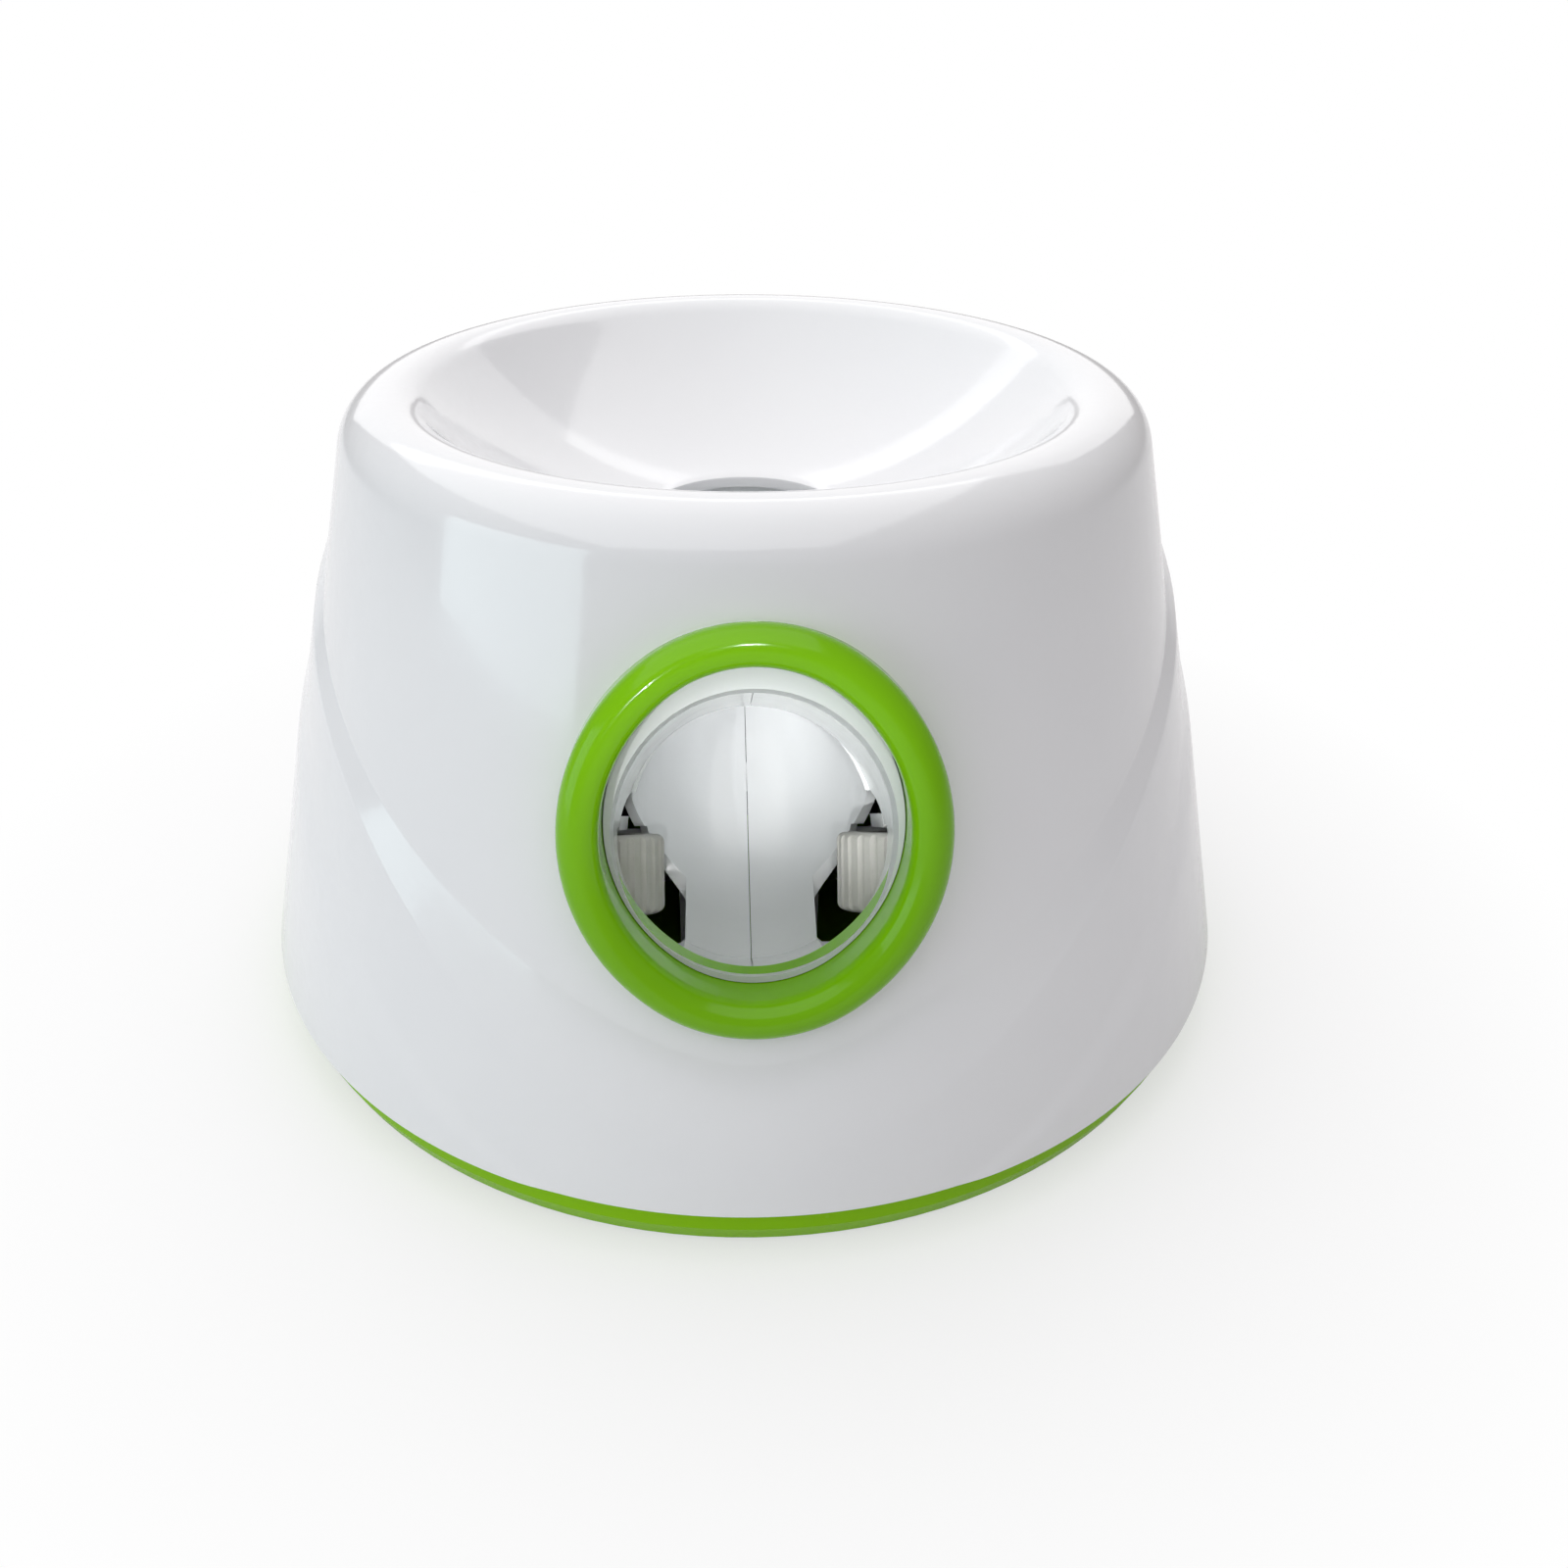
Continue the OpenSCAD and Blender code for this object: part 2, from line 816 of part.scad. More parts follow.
// Bosses beside the drop tube that carry the gate bracket
module gate_bosses() {
    for (a = gate_boss_angles)
        difference() {
            rotate([0, 0, a])
                union() {
                    translate([gate_boss_dist, 0, gate_plate_z - 12])
                        cylinder(h = 12, r = boss_r);
                    translate([tube_r + 1, -2, gate_plate_z - 12])
                        cube([boss_r, 4, 12]);
                }
            rotate([0, 0, a])
                translate([gate_boss_dist, 0, gate_plate_z - 20])
                cylinder(h = 40, r = screw_r);
        }
}

module throat_gasket() {
    color(dark_plastic)
        difference() {
            translate([0, 0, tube_top])
                cylinder(h = 10, r = tube_r + chute_wall);
            translate([0, 0, tube_top - 1])
                cylinder(h = 20, r = tube_r);
            translate([0, 0, bowl_cz])
                sphere(r = bowl_r + shell_wall, $fn = 180);
        }
}

module chute_screws() {
    color(steel_grey) {
        out = chute_wall + boss_r - 1.5;
        in_barrel() {
            seam_screw([0, barrel_r + out, -26]);
            seam_screw([0, -barrel_r - out, -44]);
        }
        in_ramp()
            seam_screw([0, out, 70]);
        seam_screw([0, tube_r + out, gate_plate_z - 12]);
        for (s = [-1, 1], y = [leg_y0, leg_y1 - leg_foot])
            translate([s * (leg_x + leg_foot / 2 + 1), y + leg_foot / 2, floor_z + 3])
                screw(2.8);
    }
}

module seam_screw(place) {
    translate(place)
        translate([6, 0, 0])
        rotate([0, 90, 0])
        screw(10);
}

// ---- Launch wheels ----

module tyre() {
    color(tyre_grey)
        difference() {
            rotate_extrude()
                difference() {
                    translate([hub_r, -wheel_w / 2])
                        square([tyre_t, wheel_w]);
                    for (s = [-1, 1])
                        tyre_corner(s);
                }
            for (i = [0 : groove_n - 1])
                rotate([0, 0, (i + 0.5) * 360 / groove_n])
                    translate([wheel_r + groove_r - groove_depth, 0, 0])
                    cylinder(h = wheel_w + 2, r = groove_r, center = true, $fn = 24);
        }
}

// What the rounded tyre edge takes off the section's corner
module tyre_corner(s) {
    difference() {
        translate([wheel_r - tyre_edge_r, s > 0 ? wheel_w / 2 - tyre_edge_r : -wheel_w / 2 - 1])
            square([tyre_edge_r + 1, tyre_edge_r + 1]);
        translate([wheel_r - tyre_edge_r, s * (wheel_w / 2 - tyre_edge_r)])
            circle(r = tyre_edge_r);
    }
}

module hub() {
    color(liner_white)
        difference() {
            union() {
                difference() {
                    cylinder(h = wheel_w - 1, r = hub_r, center = true);
                    for (s = [-1, 1])
                        translate([0, 0, s * (hub_web_t / 2 + wheel_w / 2)])
                            cylinder(h = wheel_w, r = hub_r - 3, center = true);
                }
                cylinder(h = wheel_w - 2, r = hub_boss_r, center = true);
                for (a = [0 : 60 : 300])
                    rotate([0, 0, a])
                        translate([hub_boss_r - 1, -0.8, -wheel_w / 2 + 2])
                        cube([hub_r - 3 - hub_boss_r + 1.5, 1.6, wheel_w - 4]);
            }
            cylinder(h = wheel_w * 2, r = shaft_r, center = true);
        }
}

module motor_shaft() {
    color(steel_grey)
        translate([0, 0, -wheel_w / 2 + 1])
        cylinder(h = wheel_w / 2 - 1 + wheel_drop + motor_y + shaft_in_motor, r = shaft_r);
}

// Motor can: boss in the bracket, bell and a closed rear end with two terminals
module motor() {
    color(steel_grey)
        translate([0, 0, wheel_drop + motor_y])
        difference() {
            union() {
                cylinder(h = motor_l, r = motor_r);
                translate([0, 0, -2])
                    cylinder(h = 3, r = motor_boss_r);
                translate([0, 0, motor_l - eps])
                    cylinder(h = 2, r = motor_boss_r);
                for (s = [-1, 1])
                    translate([s * 8 - 1.5, -0.4, motor_l - 1])
                        cube([3, 0.8, 5]);
            }
            translate([0, 0, -10])
                cylinder(h = 10 + shaft_in_motor + 1, r = shaft_r + run_gap);
            for (s = [-1, 1])
                translate([s * 8, 0, -1])
                    cylinder(h = 5, r = screw_r);
        }
}

// Plate between wheel and motor, with a tongue that shows in the barrel's round window
module motor_bracket() {
    color(liner_white)
        in_barrel()
        translate([0, bracket_y, 0])
        difference() {
            rotate([-90, 0, 0])
                linear_extrude(bracket_t)
                bracket_outline();
            translate([0, -bracket_y, 0])
                cylinder(h = big, r = barrel_r + fit_gap, center = true);
        }
}

module bracket_outline() {
    difference() {
        union() {
            translate([wheel_x, wheel_in])
                circle(r = motor_r + 2);
            translate([barrel_r - 2, wheel_in - 13])
                square([wheel_x - barrel_r + 2, 26]);
            for (s = [-1, 1]) {
                translate([bracket_boss_x, wheel_in + s * bracket_arm])
                    circle(r = boss_r);
                translate([bracket_boss_x - 1.5, wheel_in + s * bracket_arm / 2])
                    square([6, bracket_arm], center = true);
            }
        }
        translate([wheel_x, wheel_in]) {
            circle(r = motor_boss_r + 0.1);
            for (s = [-1, 1])
                translate([s * 8, 0])
                    circle(r = screw_r);
        }
        for (s = [-1, 1])
            translate([bracket_boss_x, wheel_in + s * bracket_arm])
                circle(r = screw_r);
    }
}

module wheel_tyre_left() {
    mirrored(true)
        at_wheel()
        tyre();
}

module wheel_tyre_right() {
    mirrored(false)
        at_wheel()
        tyre();
}

module wheel_hub_left() {
    mirrored(true)
        at_wheel()
        hub();
}

module wheel_hub_right() {
    mirrored(false)
        at_wheel()
        hub();
}

module motor_shaft_left() {
    mirrored(true)
        at_wheel()
        motor_shaft();
}

module motor_shaft_right() {
    mirrored(false)
        at_wheel()
        motor_shaft();
}

module motor_left() {
    mirrored(true)
        at_wheel()
        motor();
}

module motor_right() {
    mirrored(false)
        at_wheel()
        motor();
}

module motor_bracket_left() {
    mirrored(true)
        motor_bracket();
}

module motor_bracket_right() {
    mirrored(false)
        motor_bracket();
}

module motor_screws() {
    color(steel_grey)
        for (flip = [false, true])
            mirrored(flip) {
                in_barrel()
                    for (s = [-1, 1])
                        translate([bracket_boss_x, motor_y, -wheel_in + s * bracket_arm])
                            rotate([-90, 0, 0])
                            screw(8);
                at_wheel()
                    for (s = [-1, 1])
                        translate([s * 8, 0, wheel_drop + bracket_y])
                            rotate([180, 0, 0])
                            scale(0.8)
                            screw(5);
            }
}

// ---- Gate ----

// Toothed wheel outline with a tooth on its own x axis
function gear_points(n, r, first, last) = [
    for (i = [first : last], c = [[-1.3, -1.15], [-0.42, 0.85], [0.42, 0.85], [1.3, -1.15]])
        let (a = i * 360 / n + c[0] * 90 / n, at = r + c[1] * gear_module)
            at * [cos(a), sin(a)]];

module gate_shutter() {
    shown = ceil(gate_swing / 2 * sector_teeth / 360) + 1;
    color(shell_white)
        translate([pivot_x, pivot_y, shutter_z])
        difference() {
            union() {
                linear_extrude(shutter_t) {
                    rotate([0, 0, open_angle]) {
                        translate([pivot_dist, 0])
                            circle(r = paddle_r);
                        translate([0, -arm_w / 2])
                            square([pivot_dist - paddle_r / 2, arm_w]);
                    }
                    rotate([0, 0, pinion_angle])
                        polygon(concat([[0, 0]], gear_points(sector_teeth, sector_r,
                            -shown * 2 - 1, 2)));
                }
                translate([0, 0, -hub_lip])
                    cylinder(h = shutter_t + 2 * hub_lip, r = hub_outer_r);
            }
            translate([0, 0, -10])
                cylinder(h = 30, r = pin_r + run_gap);
        }
}

module gate_pinion() {
    color(liner_white)
        translate([pinion_x, pinion_y, shutter_z - 1])
        difference() {
            linear_extrude(pinion_t)
                rotate([0, 0, pinion_angle + 180 + 180 / pinion_teeth])
                polygon(gear_points(pinion_teeth, pinion_r, 0, pinion_teeth - 1));
            translate([0, 0, -1])
                cylinder(h = 30, r = gate_shaft_r);
        }
}

// Output shaft of the gear motor, pressed into the pinion
module gate_shaft() {
    color(steel_grey)
        translate([pinion_x, pinion_y, gate_plate_z - gate_shaft_in])
        cylinder(h = shutter_z - 1 + pinion_t - gate_plate_z + gate_shaft_in, r = gate_shaft_r);
}

// Plate with the shutter's pivot pin, seated on two bosses beside the drop tube
module gate_bracket() {
    color(liner_white) {
        difference() {
            translate([0, 0, gate_plate_z])
                linear_extrude(gate_plate_t)
                difference() {
                    union() {
                        for (a = gate_boss_angles)
                            gate_arm([gate_boss_dist * cos(a), gate_boss_dist * sin(a)], boss_r,
                                [pivot_x, pivot_y], 8);
                        gate_arm([pivot_x, pivot_y], 8, [pinion_x, pinion_y], gate_motor_r + 2);
                    }
                    translate([pinion_x, pinion_y])
                        circle(r = 4.1);
                    for (a = gate_boss_angles)
                        rotate([0, 0, a])
                            translate([gate_boss_dist, 0])
                            circle(r = screw_r);
                }
            cylinder(h = big, r = tube_r + chute_wall + fit_gap);
        }
        translate([pivot_x, pivot_y, gate_plate_z]) {
            cylinder(h = shutter_z + shutter_t + 2 * hub_lip - gate_plate_z, r = pin_r);
            cylinder(h = shutter_z - hub_lip - 0.1 - gate_plate_z, r = 3.5);
        }
    }
}

// Straight arm with round ends between two places
module gate_arm(from, from_r, to, to_r) {
    run = to - from;
    translate(from) {
        circle(r = from_r);
        rotate([0, 0, atan2(run[1], run[0])])
            translate([0, -0.8 * from_r])
            square([norm(run), 1.6 * from_r]);
    }
    translate(to)
        circle(r = to_r);
}

// Gear motor under the plate, bored for its output shaft
module gate_motor() {
    color(steel_grey)
        translate([pinion_x, pinion_y, 0])
        difference() {
            union() {
                translate([0, 0, gate_plate_z - gate_motor_l])
                    cylinder(h = gate_motor_l, r = gate_motor_r);
                translate([0, 0, gate_plate_z - 1])
                    cylinder(h = gate_plate_t, r = 4);
            }
            translate([0, 0, gate_plate_z - gate_shaft_in - 0.5])
                cylinder(h = 40, r = gate_shaft_r + run_gap);
        }
}

// Two screws of the bracket and the push-on clip of the pivot pin
module gate_screws() {
    color(steel_grey) {
        for (a = gate_boss_angles)
            rotate([0, 0, a])
                translate([gate_boss_dist, 0, gate_plate_z + gate_plate_t])
                screw(9);
        translate([pivot_x, pivot_y, shutter_z + shutter_t + hub_lip + 0.2])
            difference() {
                cylinder(h = 1, r = 4);
                translate([0, 0, -1])
                    cylinder(h = 3, r = pin_r);
            }
    }
}

// Light emitter and receiver, each with its small board, facing each other across the tube
module ball_sensors() {
    color(dark_plastic)
        for (s = [-1, 1]) {
            translate([s * (tube_r + 2), sensor_y, sensor_z])
                rotate([0, s * 90, 0]) {
                    translate([0, 0, -3])
                        cylinder(h = 8, r = sensor_r);
                    translate([-5, -4, 5])
                        cube([10, 8, board_t]);
                }
        }
}

// ---- Electronics on the base ----

module main_board() {
    color(board_green)
        translate([main_x, main_y, main_z])
        difference() {
            translate([-main_w / 2, -main_l / 2, 0])
                cube([main_w, main_l, board_t]);
            for (x = [-1, 1], y = [-1, 1])
                translate([x * (main_w / 2 - 4), y * (main_l / 2 - 4), -1])
                    cylinder(h = 5, r = screw_r);
        }
}

// Standoffs under the board; capacitors, relay, chip and plug headers on it
module board_parts() {
    top = main_z + board_t;
    color(dark_plastic)
        translate([main_x, main_y, 0]) {
            for (x = [-1, 1], y = [-1, 1])
                translate([x * (main_w / 2 - 4), y * (main_l / 2 - 4), floor_z])
                    cylinder(h = main_z - floor_z, r = 3);
            for (x = [-18, -6])
                translate([x, 22, top])
                    cylinder(h = 14, r = 5);
            translate([6, 12, top])
                cube([15, 19, 15]);
            translate([-16, -8, top])
                cube([14, 14, 2]);
            for (i = [0 : 2])
                translate([4, -28 + 12 * i, top])
                    difference() {
                        cube([14, 8, 7]);
                        translate([1, 1, 1])
                            cube([12, 6, 8]);
                    }
        }
}

module beeper() {
    color(dark_plastic)
        translate([main_x - 14, main_y - 22, main_z + board_t])
        difference() {
            cylinder(h = 7, r = 6.5);
            translate([0, 0, 5])
                cylinder(h = 5, r = 1.5);
        }
}

// ---- Batteries ----

// Block with a trough for each row, open underneath, on two flanges over the floor's opening
module battery_holder() {
    color(dark_plastic)
        difference() {
            union() {
                translate([-holder_x, holder_y0, floor_z])
                    cube([2 * holder_x, holder_y1 - holder_y0, holder_top - floor_z]);
                translate([-65, holder_y0 - 4, floor_z])
                    cube([130, holder_y1 - holder_y0 + 8, 2]);
            }
            for (y = cell_rows) {
                translate([-bay_x, y, cell_z])
                    rotate([0, 90, 0])
                    cylinder(h = 2 * bay_x, r = cell_r);
                translate([-bay_x, y - cell_r, 0])
                    cube([2 * bay_x, 2 * cell_r, cell_z]);
            }
            for (s = [-1, 1])
                translate([s * door_screw_x, door_screw_y, 0])
                    cylinder(h = floor_z + 9, r = door_screw_r);
        }
}

module battery_cells() {
    color(copper_tone)
        for (y = cell_rows, i = [-1, 0, 1])
            translate([i * (cell_l + 0.3) - cell_l / 2, y, cell_z])
                rotate([0, 90, 0]) {
                    cylinder(h = cell_l - 1.6, r = cell_r);
                    cylinder(h = cell_l, r = 3.5);
                }
}

// Leaf contacts at both ends of each row, bent to press on the cells
module battery_contacts() {
    reach = bay_x - 1.5 * cell_l - 0.3;
    color(steel_grey)
        for (y = cell_rows, s = [-1, 1])
            translate([s * bay_x, y + 6, cell_z])
                rotate([90, 0, 0])
                linear_extrude(12)
                polygon([[0, -10], [-s * 0.6, -10], [-s * 0.6, -6], [-s * reach, 0], [-s * 0.6, 6],
                    [-s * 0.6, 10], [0, 10], [0, 5.8], [-s * (reach - 0.6), 0], [0, -5.8]]);
}

// Plate let into the base floor, with finger grooves outside and two ribs under each row
module battery_door() {
    color(lime_green)
        difference() {
            union() {
                translate([-door_x, door_y0, foot_lift])
                    cube([2 * door_x, door_y1 - door_y0, floor_t]);
                for (y = cell_rows, s = [-1, 1])
                    translate([-bay_x + 2, y + s * 3 - 1, foot_lift])
                        cube([2 * bay_x - 4, 2, floor_t + cell_lift]);
            }
            for (y = cell_rows)
                translate([-bay_x, y, cell_z])
                    rotate([0, 90, 0])
                    cylinder(h = 2 * bay_x, r = cell_r);
            for (s = [-1, 1])
                translate([s * door_screw_x, door_screw_y, -1])
                    cylinder(h = 20, r = door_screw_r + fit_gap);
            for (i = [-3 : 3])
                translate([i * 6 - 1, door_y0 + 6, foot_lift - 1])
                    cube([2, 12, 1.8]);
        }
}

module door_screws() {
    color(steel_grey)
        for (s = [-1, 1])
            translate([s * door_screw_x, door_screw_y, foot_lift]) {
                translate([0, 0, -1.1])
                    difference() {
                        cylinder(h = 1.1, r = 2.2);
                        for (turn = [0, 90])
                            rotate([0, 0, turn])
                                translate([-1.4, -0.3, -1])
                                cube([2.8, 0.6, 1.6]);
                    }
                cylinder(h = floor_t + 7, r = door_screw_r);
            }
}

// ---- Rear panel and controls ----

// Tub let into the rear wall; its rim follows the wall's curve
module control_panel() {
    color(shell_white)
        difference() {
            union() {
                intersection() {
                    body_form(0);
                    on_rear()
                        translate([0, 0, -panel_back])
                        linear_extrude(40)
                        rounded_rect(panel_w, panel_h, 6);
                }
                panel_ledges();
            }
            on_rear() {
                translate([0, 0, -panel_depth])
                    linear_extrude(40)
                    rounded_rect(panel_w - 2 * panel_rim, panel_h - 2 * panel_rim, 3);
                translate([rocker_x - switch_w / 2 + 1, -switch_h / 2 + 1, -30])
                    cube([switch_w - 2, switch_h - 2, 40]);
                translate([button_x, 0, -30])
                    cylinder(h = 40, r = button_d / 2 + slide_gap);
                for (x = lens_x)
                    translate([x, 0, -30])
                        cylinder(h = 40, r = lens_r + run_gap);
                translate([jack_x, 0, -30])
                    cylinder(h = 40, r = jack_r);
            }
        }
}

// Ledges that snap behind the wall above and below the panel, and posts for the board
module panel_ledges() {
    intersection() {
        body_form(shell_wall);
        on_rear()
            translate([16 - panel_w / 2, -panel_h / 2 - 3, -panel_back])
            cube([panel_w - 32, panel_h + 6, panel_back]);
    }
    on_rear()
        for (x = board_post_x, s = [-1, 1])
            translate([x, s * board_post_y, -board_back])
                cylinder(h = board_back - panel_back + 1, r = 2.5);
}

// Rocker switch housing: a flange on the panel floor and an open box behind it
module switch_body() {
    color(dark_plastic)
        on_rear()
        translate([rocker_x, 0, -panel_depth])
        difference() {
            union() {
                linear_extrude(1.5)
                    rounded_rect(switch_w, switch_h, 1);
                translate([-switch_w / 2 + 1.1, -switch_h / 2 + 1.1, -14])
                    cube([switch_w - 2.2, switch_h - 2.2, 14 + eps]);
                for (x = [-3, 3])
                    translate([x - 0.4, -2.4, -20])
                        cube([0.8, 4.8, 8]);
            }
            translate([-rocker_room / 2, -rocker_tall / 2, -11])
                cube([rocker_room, rocker_tall, 30]);
            translate([0, 0, panel_depth - rocker_pivot])
                rotate([0, 90, 0])
                cylinder(h = 40, r = rocker_pin_r + run_gap, center = true);
        }
}

module power_rocker() {
    color(dark_plastic)
        on_rear()
        translate([rocker_x, 0, -rocker_pivot])
        rotate([rocker_swing / 2, 0, 0])
        translate([-rocker_room / 2 + 0.4, 0, 0])
        rotate([90, 0, 90]) {
            translate([0, 0, -1.2])
                cylinder(h = rocker_room + 1.6, r = rocker_pin_r);
            cylinder(h = rocker_room - 0.8, r = 3.2);
            linear_extrude(rocker_room - 0.8)
                polygon([[-7, 2], [-6.8, 6.6], [0, 4.6], [6.8, 6.6], [7, 2], [2, -0.5], [-2, -0.5]]);
        }
}

// Cap with a flange behind the panel and a stem into the push switch
module distance_button() {
    color(lime_green)
        on_rear()
        translate([button_x, 0, -panel_back - run_gap]) {
            translate([0, 0, -1])
                cylinder(h = panel_floor_t + 3.5, r = button_d / 2);
            translate([0, 0, -2])
                cylinder(h = 2, r = button_d / 2 + 2);
            translate([0, 0, -2 - stem_l])
                cylinder(h = stem_l + 1, r = stem_r);
        }
}

module indicator_lenses() {
    color(lime_green)
        on_rear()
        for (x = lens_x)
            translate([x, 0, -panel_back]) {
                translate([0, 0, -1])
                    cylinder(h = panel_floor_t + 1.4, r = lens_r);
                translate([0, 0, -2])
                    cylinder(h = 2, r = lens_r + 1);
            }
}

// Board on the panel's posts, with the push switch round the stem and three lamps
module control_board() {
    color(board_green)
        on_rear()
        difference() {
            union() {
                translate([board_x0, -11, -board_back - board_t])
                    cube([board_x1 - board_x0, 22, board_t]);
                translate([button_x - 3, -3, -board_back - eps])
                    cube([6, 6, board_back - panel_back - 2 - button_travel - 0.2]);
                for (x = lens_x)
                    translate([x - 1.2, -1.2, -board_back - eps])
                        cube([2.4, 2.4, board_back - panel_back - 3]);
            }
            translate([button_x, 0, -panel_back - 2 - stem_l - button_travel - 0.2])
                cylinder(h = 20, r = stem_r + 0.3);
        }
}

// Inlet for a mains adapter: sleeve, nut behind the panel, centre pin
module power_jack() {
    color(dark_plastic)
        on_rear()
        translate([jack_x, 0, -panel_depth]) {
            difference() {
                union() {
                    translate([0, 0, -panel_floor_t - 9])
                        cylinder(h = panel_floor_t + 9 + eps, r = jack_r);
                    cylinder(h = 1.5, r = jack_r + 1.5);
                    translate([0, 0, -panel_floor_t - 2])
                        cylinder(h = 2, r = jack_r + 1.8, $fn = 6);
                }
                translate([0, 0, -panel_floor_t - 7])
                    cylinder(h = 30, r = 2.75);
            }
            translate([0, 0, -panel_floor_t - 8])
                cylinder(h = panel_floor_t + 7, r = 1);
        }
}

outer_shell();
launch_ring();
mouth_liner();
chute_left();
chute_right();
throat_gasket();
wheel_hub_left();
wheel_hub_right();
wheel_tyre_left();
wheel_tyre_right();
motor_shaft_left();
motor_shaft_right();
motor_left();
motor_right();
motor_bracket_left();
motor_bracket_right();
motor_screws();
gate_shutter();
gate_bracket();
gate_pinion();
gate_shaft();
gate_motor();
gate_screws();
ball_sensors();
main_board();
board_parts();
beeper();
control_panel();
switch_body();
power_rocker();
distance_button();
indicator_lenses();
control_board();
power_jack();
base_plate();
battery_holder();
battery_cells();
battery_contacts();
battery_door();
door_screws();
rubber_feet();
shell_screws();
chute_screws();
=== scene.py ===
import math

import bpy
from mathutils import Matrix, Vector


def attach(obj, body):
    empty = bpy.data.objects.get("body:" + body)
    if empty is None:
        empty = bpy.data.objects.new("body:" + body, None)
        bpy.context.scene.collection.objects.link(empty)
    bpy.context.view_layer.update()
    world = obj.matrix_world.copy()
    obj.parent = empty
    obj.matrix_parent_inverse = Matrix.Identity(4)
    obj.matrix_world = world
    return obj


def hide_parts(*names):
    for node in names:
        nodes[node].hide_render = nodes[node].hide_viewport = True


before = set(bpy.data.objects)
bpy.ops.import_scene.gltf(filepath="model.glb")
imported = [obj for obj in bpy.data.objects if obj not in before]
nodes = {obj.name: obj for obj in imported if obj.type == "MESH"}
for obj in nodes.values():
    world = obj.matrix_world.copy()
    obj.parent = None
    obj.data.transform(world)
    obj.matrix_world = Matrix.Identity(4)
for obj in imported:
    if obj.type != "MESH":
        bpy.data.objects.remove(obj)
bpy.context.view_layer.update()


# ---- The view ----
# The launcher is seen from the front and from above, close enough that its far rim looks
# clearly smaller than its skirt. Nothing here belongs to the object.
view_place = (-0.006739, -0.354654, 0.270556)
view_downward = 0.570
view_sideways = -0.019
view_data = bpy.data.cameras.new("view")
view_data.sensor_width = 36
view_data.lens = 29.657
view_data.shift_x = 0.02514
view = bpy.data.objects.new("view", view_data)
bpy.context.scene.collection.objects.link(view)
view.location = view_place
view.rotation_euler = (math.pi / 2 - view_downward, 0, view_sideways)
bpy.context.scene.camera = view
bpy.context.scene.view_settings.view_transform = "Standard"


# ---- Base, battery door and feet ----
# The launcher stands on a shallow tray moulded in lime green plastic. A door in its floor
# closes the battery bay, and five soft rubber feet are glued into round recesses under it.
def add_node(tree, kind, **values):
    made = tree.nodes.new(kind)
    for name, value in values.items():
        setattr(made, name, value)
    return made


def plain_principled(name):
    material = bpy.data.materials.new(name)
    material.use_nodes = True
    tree = material.node_tree
    tree.nodes.clear()
    out = add_node(tree, "ShaderNodeOutputMaterial")
    shader = add_node(tree, "ShaderNodeBsdfPrincipled")
    tree.links.new(shader.outputs["BSDF"], out.inputs["Surface"])
    place = add_node(tree, "ShaderNodeTexCoord")
    return material, tree, shader, place.outputs["Object"]


def noise(tree, place, scale, detail, rough=0.5):
    """Soft cloudy noise between 0 and 1; scale is how many clouds there are to a metre."""
    made = add_node(tree, "ShaderNodeTexNoise")
    made.inputs["Scale"].default_value = scale
    made.inputs["Detail"].default_value = detail
    made.inputs["Roughness"].default_value = rough
    tree.links.new(place, made.inputs["Vector"])
    return made.outputs["Fac"]


def spread(tree, value, low, high, to_low, to_high):
    """Stretches the part of a value between low and high over the range to_low to to_high."""
    made = add_node(tree, "ShaderNodeMapRange")
    made.inputs["From Min"].default_value = low
    made.inputs["From Max"].default_value = high
    made.inputs["To Min"].default_value = to_low
    made.inputs["To Max"].default_value = to_high
    tree.links.new(value, made.inputs["Value"])
    return made.outputs["Result"]


def two_tone(tree, value, first, second):
    made = add_node(tree, "ShaderNodeMix", data_type="RGBA")
    made.inputs["A"].default_value = (*first, 1)
    made.inputs["B"].default_value = (*second, 1)
    tree.links.new(value, made.inputs["Factor"])
    return made.outputs["Result"]


def raise_surface(tree, shader, value, strength, distance):
    made = add_node(tree, "ShaderNodeBump")
    made.inputs["Strength"].default_value = strength
    made.inputs["Distance"].default_value = distance
    tree.links.new(value, made.inputs["Height"])
    tree.links.new(made.outputs["Normal"], shader.inputs["Normal"])


def moulded_plastic(name, colour, shade, roughness, polish=0.03, peel=0.12, coat=0.0, sheen=0.5):
    """Injection-moulded plastic: colour drifts with the flow, and the skin has a faint peel."""
    material, tree, shader, place = plain_principled(name)
    drift = noise(tree, place, scale=9, detail=3)
    flow = spread(tree, drift, low=0.3, high=0.7, to_low=0, to_high=1)
    tree.links.new(two_tone(tree, flow, colour, shade), shader.inputs["Base Color"])
    handled = noise(tree, place, scale=48, detail=4, rough=0.6)
    wear = spread(tree, handled, low=0.3, high=0.75,
                  to_low=roughness - polish, to_high=roughness + polish)
    tree.links.new(wear, shader.inputs["Roughness"])
    shader.inputs["IOR"].default_value = 1.5
    shader.inputs["Specular IOR Level"].default_value = sheen
    shader.inputs["Coat Weight"].default_value = coat
    shader.inputs["Coat Roughness"].default_value = 0.06
    raise_surface(tree, shader, noise(tree, place, scale=260, detail=2),
                  strength=peel, distance=0.0004)
    return material


